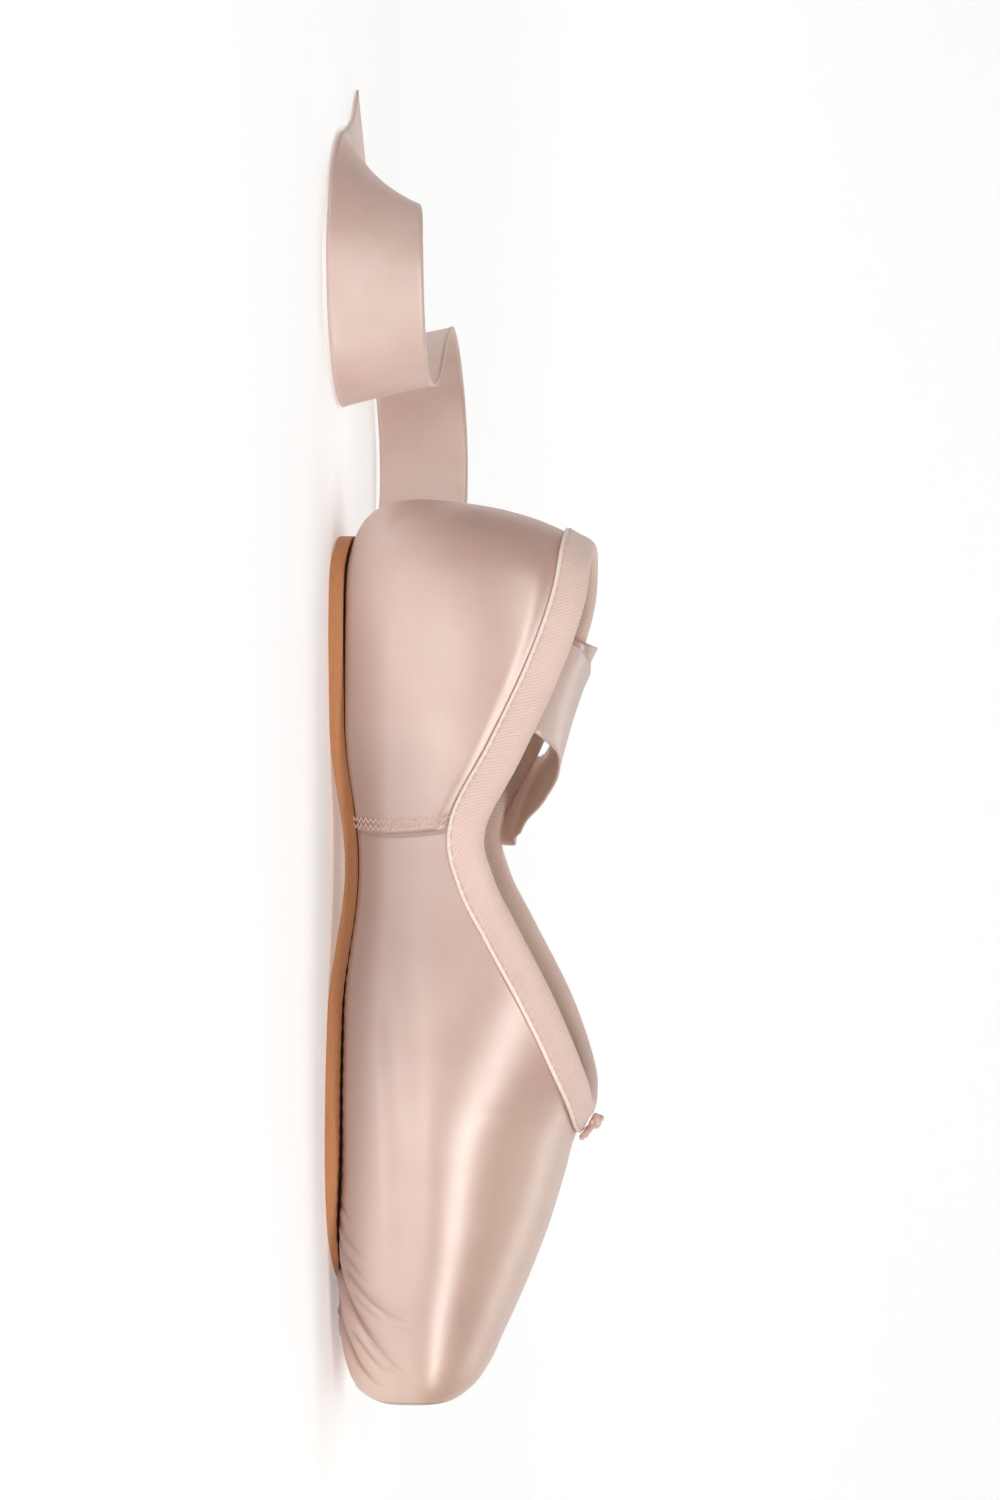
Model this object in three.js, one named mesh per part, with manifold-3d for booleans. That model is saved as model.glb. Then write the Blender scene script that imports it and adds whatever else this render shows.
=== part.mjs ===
// Pointe shoe, standing empty and unbent on its leather sole.
// Millimetres, toe towards +X, +Z up, origin on the floor under the middle of the shoe.
// The last is straight, so both sides of the shoe are alike.

import * as THREE from "three";
import { mergeVertices } from "three/addons/utils/BufferGeometryUtils.js";
import Module from "manifold-3d";

const wasm = await Module();
wasm.setup();

// The last, over the satin.
const LENGTH = 236;
const BALL_WIDTH = 78;
const HEEL_WIDTH = 57;
const PLATFORM_WIDTH = 46;
const PLATFORM_HEIGHT = 35;
const THROAT_HEIGHT = 67;
const HEEL_HEIGHT = 67;
const WAIST_HEIGHT = 40;

// The upper's wall, stiffened at the box, and its side seam.
const WALL = 1.8;
const BOX_WALL = 3.2;
const SEAM_FROM_HEEL = 86;
const SEAM_STEP = 0.5;
const SEAM_SLOPE = 0.8;

// The leather sole.
const SOLE_THICKNESS = 2.8;
const SOLE_TIP_THICKNESS = 0.9;
const SOLE_BALL_WIDTH = 55;
const SOLE_WAIST_WIDTH = 28.5;
const SOLE_HEEL_WIDTH = 40;
const SOLE_BEVEL = 0.8;
const SOLE_LIP = 1.1;
const ARCH_RISE = 3.6;
const TOE_SPRING = 0.7;
const LASTING_MARGIN = 7.5;

// The insole board.
const INSOLE_THICKNESS = 1.6;

// The casing folded over the topline.
const BINDING_WIDTH = 8;
const BINDING_INSIDE = 6;
const BINDING_THICKNESS = 0.8;

// The satin ribbons, and how finely they are cut.
const RIBBON_WIDTH = 25;
const RIBBON_THICKNESS = 0.6;
const RIBBON_STEPS = 66;

// The knot of the drawstring at the throat.
const KNOT_WIDTH = 6.4;
const KNOT_LENGTH = 4.6;
const KNOT_HEIGHT = 3.2;
const STRING_THICKNESS = 1.6;
const STRING_END = 6;

// Clearance between pieces that touch on the real shoe, and under the casing, which bridges the wall's facets.
const GAP = 0.3;
const CASING_GAP = 0.5;

// How finely the solids are cut.
const RINGS_PER_SECTION = 2;
const CROWN_STEPS = 10;
const FLOOR_STEPS = 6;
const COLLAR_STEPS = 56;
const SOLE_STEPS = 40;

// Sections of the last from heel to toe. at is a share of LENGTH. half is a share of half the named width.
// lift is the underside above the sole's upper face, crown the top and belt the widest height, as shares of
// the named height. over and under say how square the section is above and below its belt: 2 is an ellipse.
const HEEL_SECTIONS = [
  { at: 0.0, half: 0.05, lift: 0.265, crown: 0.345, belt: 0.33, over: 2.0, under: 2.0 },
  { at: 0.0035, half: 0.29, lift: 0.17, crown: 0.48, belt: 0.33, over: 2.0, under: 2.0 },
  { at: 0.013, half: 0.54, lift: 0.095, crown: 0.67, belt: 0.33, over: 2.0, under: 2.1 },
  { at: 0.03, half: 0.73, lift: 0.042, crown: 0.85, belt: 0.32, over: 2.05, under: 2.3 },
  { at: 0.056, half: 0.88, lift: 0.01, crown: 1.01, belt: 0.31, over: 2.1, under: 2.6 },
  { at: 0.095, half: 0.97, lift: 0.0, crown: 1.16, belt: 0.3, over: 2.15, under: 3.0 },
  { at: 0.16, half: 1.0, lift: 0.0, crown: 1.28, belt: 0.29, over: 2.2, under: 3.2 },
  { at: 0.26, half: 0.975, lift: 0.0, crown: 1.34, belt: 0.27, over: 2.2, under: 3.0 },
];
const BODY_SECTIONS = [
  { at: 0.365, half: 0.695, lift: 0.0, crown: 1.34, belt: 0.25, over: 2.2, under: 2.8 },
  { at: 0.465, half: 0.74, lift: 0.0, crown: 1.28, belt: 0.245, over: 2.2, under: 2.8 },
  { at: 0.56, half: 0.86, lift: 0.0, crown: 1.18, belt: 0.245, over: 2.2, under: 3.0 },
  { at: 0.636, half: 0.96, lift: 0.0, crown: 1.07, belt: 0.25, over: 2.2, under: 3.2 },
  { at: 0.703, half: 1.0, lift: 0.0, crown: 0.945, belt: 0.26, over: 2.25, under: 3.2 },
  { at: 0.753, half: 0.985, lift: 0.0, crown: 0.893, belt: 0.27, over: 2.3, under: 3.1 },
  { at: 0.812, half: 0.93, lift: 0.0, crown: 0.828, belt: 0.28, over: 2.35, under: 3.0 },
  { at: 0.874, half: 0.85, lift: 0.0, crown: 0.742, belt: 0.29, over: 2.4, under: 2.8 },
];
const TOE_SECTIONS = [
  { at: 0.93, half: 1.26, lift: 0.006, crown: 1.25, belt: 0.58, over: 2.5, under: 2.7 },
  { at: 0.956, half: 1.165, lift: 0.03, crown: 1.17, belt: 0.6, over: 2.55, under: 2.7 },
  { at: 0.977, half: 1.065, lift: 0.08, crown: 1.085, belt: 0.61, over: 2.6, under: 2.7 },
  { at: 0.991, half: 0.955, lift: 0.165, crown: 0.99, belt: 0.61, over: 2.7, under: 2.8 },
  { at: 0.998, half: 0.84, lift: 0.25, crown: 0.91, belt: 0.61, over: 2.8, under: 2.9 },
  { at: 1.0, half: 0.73, lift: 0.31, crown: 0.85, belt: 0.61, over: 2.8, under: 2.9 },
];

// The topline seen from the side. at is a share of LENGTH, and up a share of the way from WAIST_HEIGHT
// to HEEL_HEIGHT behind the waist, and to THROAT_HEIGHT ahead of it.
const TOPLINE = [
  { at: 0.06, up: 1.0 },
  { at: 0.123, up: 0.93 },
  { at: 0.2, up: 0.7 },
  { at: 0.288, up: 0.34 },
  { at: 0.365, up: 0.0 },
  { at: 0.42, up: 0.08 },
  { at: 0.475, up: 0.32 },
  { at: 0.56, up: 0.7 },
  { at: 0.636, up: 0.95 },
  { at: 0.674, up: 1.0 },
];

// The sole's outline. at is a share of LENGTH, and the others are shares of half of each named width.
const SOLE_OUTLINE = [
  { at: 0.041, heel: 0.06 },
  { at: 0.0465, heel: 0.4 },
  { at: 0.063, heel: 0.72 },
  { at: 0.095, heel: 0.93 },
  { at: 0.15, heel: 1.0 },
  { at: 0.235, heel: 0.92 },
  { at: 0.32, heel: 0.3, waist: 0.66 },
  { at: 0.405, waist: 1.0 },
  { at: 0.49, waist: 0.6, ball: 0.3 },
  { at: 0.57, ball: 0.8 },
  { at: 0.635, ball: 0.94 },
  { at: 0.7, ball: 1.0 },
  { at: 0.755, ball: 0.965 },
  { at: 0.805, ball: 0.83 },
  { at: 0.84, ball: 0.62 },
  { at: 0.861, ball: 0.36 },
  { at: 0.869, ball: 0.05 },
];

// The stretches of the sole that lie flat on the floor, as shares of LENGTH, and where its skiving starts.
const HEEL_FLAT = { from: 0.085, to: 0.25 };
const BALL_FLAT = { from: 0.57, to: 0.8 };
const SKIVE_FROM = 0.7;
const BOX_WALL_FROM = 0.62;
const BOX_WALL_FULL = 0.8;

// The way of each ribbon's middle line, from its sewn end inside the quarter to its cut end on the floor.
// turn and lean, in degrees, give the direction of its width: turn from +X towards +Y, lean from level
// up to standing on its edge.
const FAR_RIBBON = [
  { x: -75.5, y: 22.9, z: 44.3, turn: 5, lean: -23 },
  { x: -73.0, y: 21.4, z: 50.0, turn: 6, lean: -23 },
  { x: -70.9, y: 20.05, z: 55.0, turn: 7, lean: -23 },
  { x: -69.0, y: 20.6, z: 59.6, turn: 7, lean: -23 },
  { x: -68.0, y: 24.2, z: 61.9, turn: 6, lean: -23 },
  { x: -69.1, y: 28.1, z: 59.4, turn: 5, lean: -23 },
  { x: -71.2, y: 29.45, z: 54.5, turn: 4, lean: -23 },
  { x: -75.6, y: 31.05, z: 44.0, turn: 4, lean: -22 },
  { x: -80.6, y: 33.3, z: 30.0, turn: 6, lean: -18 },
  { x: -84.0, y: 37.5, z: 16.0, turn: 10, lean: -11 },
  { x: -86.0, y: 46.0, z: 5.4, turn: 14, lean: -3 },
  { x: -89.0, y: 57.0, z: 1.8, turn: 17, lean: 3 },
  { x: -93.5, y: 70.0, z: 5.4, turn: 28, lean: 22 },
  { x: -103.0, y: 82.0, z: 10.6, turn: 48, lean: 52 },
  { x: -118.0, y: 90.0, z: 12.9, turn: 70, lean: 76 },
  { x: -135.0, y: 91.0, z: 13.3, turn: 92, lean: 82 },
  { x: -151.0, y: 84.0, z: 13.2, turn: 120, lean: 80 },
  { x: -162.0, y: 70.0, z: 13.1, turn: 150, lean: 78 },
  { x: -166.0, y: 52.0, z: 13.2, turn: 178, lean: 80 },
  { x: -161.0, y: 35.0, z: 13.3, turn: 202, lean: 82 },
  { x: -151.0, y: 20.0, z: 13.2, turn: 210, lean: 80 },
  { x: -146.0, y: 3.0, z: 13.1, turn: 185, lean: 78 },
  { x: -150.0, y: -14.0, z: 13.2, turn: 152, lean: 80 },
  { x: -163.0, y: -26.0, z: 13.3, turn: 115, lean: 82 },
  { x: -181.0, y: -28.0, z: 13.1, turn: 80, lean: 78 },
  { x: -196.0, y: -19.0, z: 12.2, turn: 45, lean: 66 },
  { x: -204.0, y: -3.0, z: 9.4, turn: 15, lean: 44 },
  { x: -206.0, y: 15.0, z: 4.6, turn: 5, lean: 18 },
  { x: -211.0, y: 32.0, z: 1.7, turn: 22, lean: 4 },
  { x: -222.0, y: 46.0, z: 0.9, turn: 38, lean: 1 },
];
const NEAR_RIBBON = [
  { x: -74.2, y: -23.2, z: 44.3, turn: -5, lean: -23 },
  { x: -71.5, y: -21.7, z: 50.0, turn: -6, lean: -23 },
  { x: -69.4, y: -20.2, z: 55.2, turn: -7, lean: -23 },
  { x: -66.4, y: -16.2, z: 60.4, turn: -8, lean: -22 },
  { x: -62.0, y: -9.0, z: 62.6, turn: -12, lean: -17 },
  { x: -56.0, y: -0.5, z: 61.0, turn: -18, lean: -14 },
  { x: -49.8, y: 8.0, z: 57.2, turn: -18, lean: -16 },
  { x: -44.4, y: 16.0, z: 52.7, turn: -10, lean: -21 },
  { x: -40.2, y: 22.5, z: 49.4, turn: -2, lean: -23 },
  { x: -38.6, y: 27.6, z: 46.8, turn: 0, lean: -23 },
  { x: -39.2, y: 30.8, z: 41.0, turn: 0, lean: -22 },
  { x: -42.2, y: 32.4, z: 32.0, turn: 0, lean: -20 },
  { x: -45.8, y: 35.0, z: 21.0, turn: 0, lean: -16 },
  { x: -48.8, y: 41.0, z: 10.5, turn: 1, lean: -9 },
  { x: -50.8, y: 51.0, z: 3.2, turn: 2, lean: -2 },
  { x: -51.5, y: 63.0, z: 1.8, turn: 0, lean: 4 },
  { x: -50.0, y: 77.0, z: 5.6, turn: -12, lean: 22 },
  { x: -44.0, y: 91.0, z: 10.4, turn: -30, lean: 50 },
  { x: -32.5, y: 102.0, z: 12.8, turn: -57, lean: 74 },
  { x: -17.0, y: 107.0, z: 13.3, turn: -85, lean: 82 },
  { x: 1.0, y: 104.0, z: 13.3, turn: -115, lean: 82 },
  { x: 16.0, y: 94.0, z: 13.2, turn: -133, lean: 80 },
  { x: 28.5, y: 80.5, z: 13.1, turn: -133, lean: 78 },
  { x: 43.0, y: 70.0, z: 13.2, turn: -113, lean: 80 },
  { x: 60.5, y: 67.0, z: 13.3, turn: -85, lean: 82 },
  { x: 77.0, y: 72.5, z: 13.2, turn: -58, lean: 80 },
  { x: 90.0, y: 84.5, z: 13.2, turn: -30, lean: 80 },
  { x: 94.0, y: 101.5, z: 13.1, turn: 12, lean: 78 },
  { x: 85.5, y: 116.5, z: 12.2, turn: 50, lean: 66 },
  { x: 69.5, y: 123.0, z: 9.4, turn: 82, lean: 44 },
  { x: 52.0, y: 121.0, z: 4.6, turn: 103, lean: 18 },
  { x: 36.0, y: 114.0, z: 1.7, turn: 115, lean: 4 },
  { x: 21.0, y: 105.0, z: 0.9, turn: 122, lean: 1 },
];

// A smooth curve through values[0..n-1], at the fractional index u.
function through(values, u) {
  const last = values.length - 1;
  const i = Math.min(Math.max(Math.floor(u), 0), last - 1);
  const f = u - i;
  const b = values[i];
  const c = values[i + 1];
  const a = i > 0 ? values[i - 1] : 2 * b - c;
  const d = i + 2 <= last ? values[i + 2] : 2 * c - b;
  const square = 2 * a - 5 * b + 4 * c - d;
  const cube = 3 * b - a - 3 * c + d;
  return b + 0.5 * f * (c - a + f * (square + f * cube));
}

// The fractional index at which a rising column reaches a value.
function indexAt(values, wanted) {
  let low = 0;
  let high = values.length - 1;
  for (let i = 0; i < 40; i++) {
    const middle = (low + high) / 2;
    if (through(values, middle) < wanted) low = middle;
    else high = middle;
  }
  return (low + high) / 2;
}

const smooth = (from, to, x) => THREE.MathUtils.smoothstep(x, from, to);

// Height of the sole's lower face at a distance from the heel.
function soleUnderside(s) {
  const share = s / LENGTH;
  const arch = THREE.MathUtils.clamp((share - HEEL_FLAT.to) / (BALL_FLAT.from - HEEL_FLAT.to), 0, 1);
  const tip = SOLE_OUTLINE[SOLE_OUTLINE.length - 1].at;
  const heelLift = 1 - smooth(SOLE_OUTLINE[0].at, HEEL_FLAT.from, share);
  return (
    ARCH_RISE * Math.sin(Math.PI * arch) ** 2 +
    TOE_SPRING * (smooth(BALL_FLAT.to, tip, share) + heelLift)
  );
}

// Height of the sole's upper face, where the upper sits on it.
function soleSeat(s) {
  const tip = SOLE_OUTLINE[SOLE_OUTLINE.length - 1].at;
  const skived = smooth(SKIVE_FROM, tip, s / LENGTH);
  return soleUnderside(s) + THREE.MathUtils.lerp(SOLE_THICKNESS, SOLE_TIP_THICKNESS, skived);
}

// The sections in millimetres, as columns.
function lastColumns() {
  const groups = [
    [HEEL_SECTIONS, HEEL_WIDTH, HEEL_HEIGHT],
    [BODY_SECTIONS, BALL_WIDTH, THROAT_HEIGHT],
    [TOE_SECTIONS, PLATFORM_WIDTH, PLATFORM_HEIGHT],
  ];
  const columns = { s: [], half: [], lift: [], crown: [], belt: [], over: [], under: [] };
  for (const [sections, width, height] of groups) {
    for (const row of sections) {
      columns.s.push(row.at * LENGTH);
      columns.half.push((row.half * width) / 2);
      columns.lift.push(row.lift * height);
      columns.crown.push(row.crown * height);
      columns.belt.push(row.belt * height);
      columns.over.push(row.over);
      columns.under.push(row.under);
    }
  }
  return columns;
}

const LAST = lastColumns();

// The section of the last at a fractional row.
function sectionAt(u) {
  const s = through(LAST.s, u);
  return {
    s,
    half: through(LAST.half, u),
    floor: soleSeat(s) + GAP + Math.max(0, through(LAST.lift, u)),
    crown: through(LAST.crown, u),
    belt: through(LAST.belt, u),
    over: through(LAST.over, u),
    under: through(LAST.under, u),
  };
}

const wallAt = (s) =>
  THREE.MathUtils.lerp(WALL, BOX_WALL, smooth(BOX_WALL_FROM, BOX_WALL_FULL, s / LENGTH));

// Points evenly spaced on a quarter of a section, from its belt to its crown or floor.
function quarter(half, height, power, count) {
  const FINE = 60;
  const points = [];
  const along = [0];
  for (let i = 0; i <= FINE; i++) {
    const angle = (i / FINE) * (Math.PI / 2);
    const y = half * Math.cos(angle) ** (2 / power);
    const z = height * Math.sin(angle) ** (2 / power);
    points.push([Math.max(y, 0), z]);
    if (i > 0) along.push(along[i - 1] + Math.hypot(y - points[i - 1][0], z - points[i - 1][1]));
  }
  const even = [];
  let j = 1;
  for (let k = 0; k <= count; k++) {
    const wanted = (k / count) * along[FINE];
    while (j < FINE && along[j] < wanted) j++;
    const f = (wanted - along[j - 1]) / (along[j] - along[j - 1]);
    even.push([0, 1].map((c) => points[j - 1][c] + f * (points[j][c] - points[j - 1][c])));
  }
  even[count][0] = 0;
  return even;
}

// One closed ring of the last, from the crown down the +Y side, under the floor and back up the -Y side.
function ringOf(section) {
  const upper = quarter(section.half, section.crown - section.belt, section.over, CROWN_STEPS);
  const lower = quarter(section.half, section.belt - section.floor, section.under, FLOOR_STEPS);
  const side = [
    ...upper.reverse().map(([y, z]) => [y, section.belt + z]),
    ...lower.slice(1).map(([y, z]) => [y, section.belt - z]),
  ];
  const other = side.slice(1, -1).reverse();
  return [...side, ...other.map(([y, z]) => [-y, z])].map(
    ([y, z]) => new THREE.Vector3(section.s - LENGTH / 2, y, z),
  );
}

// A closed geometry from rings of points, each end closed by a fan. Seen from the first ring towards the
// last, each ring runs against the clock. crossed(j) says which strips are split the other way.
function loft(rings, ends, crossed = () => false) {
  const count = rings[0].length;
  const points = [...rings.flat(), ...ends];
  const faces = [];
  for (let i = 0; i + 1 < rings.length; i++) {
    for (let j = 0; j < count; j++) {
      const a = i * count + j;
      const b = i * count + ((j + 1) % count);
      if (crossed(j)) faces.push(a, a + count, b, b, a + count, b + count);
      else faces.push(a, b + count, b, a, a + count, b + count);
    }
  }
  const start = rings.length * count;
  const lastRing = (rings.length - 1) * count;
  for (let j = 0; j < count; j++) {
    const next = (j + 1) % count;
    faces.push(start, j, next);
    faces.push(start + 1, lastRing + next, lastRing + j);
  }
  const geometry = new THREE.BufferGeometry().setFromPoints(points);
  geometry.setIndex(faces);
  return geometry;
}

const middleOf = (ring) =>
  ring.reduce((sum, p) => sum.add(p), new THREE.Vector3()).divideScalar(ring.length);

function lastRings() {
  const rows = LAST.s.length - 1;
  const places = [];
  for (let i = 0; i <= rows * RINGS_PER_SECTION; i++) places.push(i / RINGS_PER_SECTION);
  for (const side of [-1, 1]) places.push(indexAt(LAST.s, SEAM_FROM_HEEL + (side * SEAM_SLOPE) / 2));
  places.sort((a, b) => a - b);
  return places
    .filter((u, i) => i === 0 || u - places[i - 1] > 1e-3)
    .map((u) => ringOf(sectionAt(u)));
}

// The last as a closed geometry, moved outwards by offset(point) millimetres.
const BARE_RINGS = lastRings();
function lastForm(offset) {
  const ends = [middleOf(BARE_RINGS[0]), middleOf(BARE_RINGS[BARE_RINGS.length - 1])];
  const geometry = loft(BARE_RINGS, ends);
  geometry.computeVertexNormals();
  const place = geometry.getAttribute("position");
  const normal = geometry.getAttribute("normal");
  for (let i = 0; i < place.count; i++) {
    const p = new THREE.Vector3().fromBufferAttribute(place, i);
    const n = new THREE.Vector3().fromBufferAttribute(normal, i);
    p.addScaledVector(n, offset(p));
    place.setXYZ(i, p.x, p.y, p.z);
  }
  return geometry;
}

// A geometry as a solid that can be joined and cut.
function solid(geometry) {
  const bare = geometry.clone();
  bare.deleteAttribute("normal");
  bare.deleteAttribute("uv");
  const merged = mergeVertices(bare, 1e-4);
  return new wasm.Manifold(
    new wasm.Mesh({
      numProp: 3,
      vertProperties: merged.getAttribute("position").array,
      triVerts: new Uint32Array(merged.index.array),
    }),
  );
}

// A solid as a named mesh.
function meshOf(body, name, finish) {
  const raw = body.getMesh();
  const geometry = new THREE.BufferGeometry();
  geometry.setAttribute("position", new THREE.BufferAttribute(new Float32Array(raw.vertProperties), 3));
  geometry.setIndex(new THREE.BufferAttribute(raw.triVerts, 1));
  const mesh = new THREE.Mesh(geometry, new THREE.MeshStandardMaterial(finish));
  mesh.name = name;
  return mesh;
}

// Height of the topline at a distance from the heel.
const TOPLINE_AT = TOPLINE.map((row) => row.at * LENGTH);
const TOPLINE_UP = TOPLINE.map((row) => {
  const high = row.at * LENGTH < SEAM_FROM_HEEL ? HEEL_HEIGHT : THROAT_HEIGHT;
  return THREE.MathUtils.lerp(WAIST_HEIGHT, high, row.up);
});
function toplineHeight(s) {
  const within = THREE.MathUtils.clamp(s, TOPLINE_AT[0], TOPLINE_AT[TOPLINE_AT.length - 1]);
  return through(TOPLINE_UP, indexAt(TOPLINE_AT, within));
}

// Below 0 inside the last above its belt, 0 on it and over 0 outside it.
function outside(x, y, z) {
  const s = x + LENGTH / 2;
  if (s <= 0 || s >= LENGTH) return 1;
  const section = sectionAt(indexAt(LAST.s, s));
  const high = Math.max(z - section.belt, 0) / (section.crown - section.belt);
  return (Math.abs(y) / section.half) ** section.over + high ** section.over - 1;
}

function slopeAt(p) {
  const STEP = 0.05;
  const slope = new THREE.Vector3();
  for (const axis of ["x", "y", "z"]) {
    const ahead = p.clone();
    const behind = p.clone();
    ahead[axis] += STEP;
    behind[axis] -= STEP;
    slope[axis] = (outside(...ahead) - outside(...behind)) / (2 * STEP);
  }
  return slope;
}

// The nearest point of the last above its belt.
function ontoLast(p) {
  const found = p.clone();
  for (let i = 0; i < 5; i++) {
    const slope = slopeAt(found);
    found.addScaledVector(slope, -outside(...found) / slope.lengthSq());
  }
  return found;
}

// The edge of the collar: even steps round the topline, each with its direction, its outward normal and
// the way down the wall.
function collarEdge() {
  const FINE = 240;
  const middle = SEAM_FROM_HEEL - LENGTH / 2;
  const points = [];
  for (let i = 0; i < FINE; i++) {
    const angle = (i / FINE) * 2 * Math.PI;
    let near = 0;
    let far = LENGTH / 2;
    for (let k = 0; k < 30; k++) {
      const reach = (near + far) / 2;
      const x = middle + reach * Math.cos(angle);
      const height = toplineHeight(x + LENGTH / 2);
      if (outside(x, reach * Math.sin(angle), height) < 0) near = reach;
      else far = reach;
    }
    const x = middle + near * Math.cos(angle);
    points.push(new THREE.Vector3(x, near * Math.sin(angle), toplineHeight(x + LENGTH / 2)));
  }
  const even = new THREE.CatmullRomCurve3(points, true).getSpacedPoints(COLLAR_STEPS).slice(0, -1);
  return even.map((point, i) => {
    const ahead = even[(i + 1) % COLLAR_STEPS];
    const behind = even[(i + COLLAR_STEPS - 1) % COLLAR_STEPS];
    const along = ahead.clone().sub(behind).normalize();
    const out = slopeAt(point).normalize();
    const down = along.clone().cross(out).normalize();
    return { point, along, out, down };
  });
}

const COLLAR = collarEdge();

// What is cut away above the collar, square to the wall at its edge.
function collarCutter() {
  const REACH = 9;
  const inner = COLLAR.map(({ point, out }) => point.clone().addScaledVector(out, -REACH));
  const outer = COLLAR.map(({ point, out }) => point.clone().addScaledVector(out, REACH));
  const below = middleOf(inner);
  const above = new THREE.Vector3(below.x, 0, 4 * HEEL_HEIGHT);
  return solid(loft([outer, inner], [above, below]));
}

const soleHalf = SOLE_OUTLINE.map(
  ({ heel = 0, waist = 0, ball = 0 }) =>
    (heel * SOLE_HEEL_WIDTH + waist * SOLE_WAIST_WIDTH + ball * SOLE_BALL_WIDTH) / 2,
);
const soleAt = SOLE_OUTLINE.map((row) => row.at * LENGTH);

// A slab with the sole's outline drawn in by inset. profile(s) lists its edge, from the lower face up to
// the upper one, as pairs of how far in and how high.
function soleSlab(inset, profile) {
  const rows = SOLE_OUTLINE.length - 1;
  const rings = [];
  const middle = (soleAt[0] + soleAt[rows]) / 2;
  const shrink = 1 - inset / (middle - soleAt[0]);
  for (let i = 0; i <= SOLE_STEPS; i++) {
    const u = (i / SOLE_STEPS) * rows;
    const s = middle + (through(soleAt, u) - middle) * shrink;
    const half = Math.max(through(soleHalf, u) - inset, 0.4);
    const edge = profile(s);
    const side = edge.map(([inwards, z]) => [Math.max(half - inwards, 0.2), z]).reverse();
    const other = edge.map(([inwards, z]) => [-Math.max(half - inwards, 0.2), z]);
    rings.push([...side, ...other].map(([y, z]) => new THREE.Vector3(s - LENGTH / 2, y, z)));
  }
  return solid(loft(rings, [middleOf(rings[0]), middleOf(rings[rings.length - 1])]));
}

function upperSolid() {
  const TALL = 20;
  const seamed = (p) => {
    const s = p.x + LENGTH / 2;
    const below = toplineHeight(s) - BINDING_WIDTH - p.z;
    const behind = 1 - smooth(-SEAM_SLOPE / 2, SEAM_SLOPE / 2, s - SEAM_FROM_HEEL);
    const clearOfSole = smooth(0.5, 0.8, (2 * Math.abs(p.y)) / HEEL_WIDTH);
    return SEAM_STEP * behind * smooth(0, BINDING_WIDTH / 2, below) * clearOfSole;
  };
  const outer = solid(lastForm(seamed));
  const inner = solid(lastForm((p) => -wallAt(p.x + LENGTH / 2)));
  const opening = soleSlab(LASTING_MARGIN, (s) => [
    [0, -TALL],
    [0, soleSeat(s) + WALL + BOX_WALL],
  ]);
  return outer.subtract(inner).subtract(collarCutter()).subtract(opening);
}

function outsoleSolid() {
  const slab = soleSlab(0, (s) => {
    const under = soleUnderside(s);
    const seat = soleSeat(s);
    const bevel = Math.min(SOLE_BEVEL, (seat - under) / 2);
    return [
      [bevel, under],
      [0, under + bevel],
      [0, seat + SOLE_LIP],
    ];
  });
  return slab.subtract(solid(lastForm(() => GAP)));
}

function insoleSolid() {
  const cavity = solid(lastForm((p) => -wallAt(p.x + LENGTH / 2) - GAP));
  const rows = LAST.s.length - 1;
  const rings = [];
  for (let i = 0; i <= rows; i++) {
    const { s, half } = sectionAt(i);
    const top = soleSeat(s) + wallAt(s) + 2 * GAP + INSOLE_THICKNESS;
    const ring = [
      [half, top],
      [half, -top],
      [-half, -top],
      [-half, top],
    ];
    rings.push(ring.map(([y, z]) => new THREE.Vector3(s - LENGTH / 2, y, z)));
  }
  const slab = solid(loft(rings, [middleOf(rings[0]), middleOf(rings[rows])]));
  return cavity.intersect(slab);
}

// The casing's closed section at each step of the collar: outer leaf, ridge and inner leaf, then back
// along its inside.
function bindingSolid() {
  const LEAF_STEPS = 3;
  const rings = COLLAR.map(({ point, along, out, down }) => {
    const onWall = [{ point, out }];
    const place = point.clone();
    const way = down.clone();
    for (let k = 0; k < LEAF_STEPS; k++) {
      place.addScaledVector(way, BINDING_WIDTH / LEAF_STEPS);
      place.copy(ontoLast(place));
      const normal = slopeAt(place).normalize();
      way.copy(along).cross(normal).normalize();
      onWall.push({ point: place.clone(), out: normal });
    }
    const wall = (k) => wallAt(onWall[k].point.x + LENGTH / 2);
    const face = (k, away) => onWall[k].point.clone().addScaledVector(onWall[k].out, away);
    const inside = (k, away) => {
      const share = BINDING_INSIDE / BINDING_WIDTH;
      return face(k, -wall(k) - away).lerp(face(0, -wall(0) - away), 1 - share);
    };
    const above = (away, rise) => face(0, away).addScaledVector(down, -rise);
    const leaf = [3, 2, 1, 0];
    const back = [1, 2, 3];
    return [
      ...leaf.map((k) => face(k, CASING_GAP + BINDING_THICKNESS)),
      above(0, CASING_GAP + BINDING_THICKNESS),
      above(-wall(0), CASING_GAP + BINDING_THICKNESS),
      ...[0, ...back].map((k) => inside(k, CASING_GAP + BINDING_THICKNESS)),
      ...back.reverse().map((k) => inside(k, CASING_GAP)),
      above(-wall(0) - CASING_GAP, CASING_GAP),
      above(CASING_GAP, CASING_GAP),
      ...[1, 2, 3].map((k) => face(k, CASING_GAP)),
    ];
  });
  const count = rings[0].length;
  const faces = [];
  for (let i = 0; i < rings.length; i++) {
    for (let j = 0; j < count; j++) {
      const a = i * count + j;
      const b = i * count + ((j + 1) % count);
      const c = ((i + 1) % rings.length) * count + j;
      const d = ((i + 1) % rings.length) * count + ((j + 1) % count);
      faces.push(a, c, d, a, d, b);
    }
  }
  const geometry = new THREE.BufferGeometry().setFromPoints(rings.flat());
  geometry.setIndex(faces);
  return solid(geometry);
}

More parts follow.
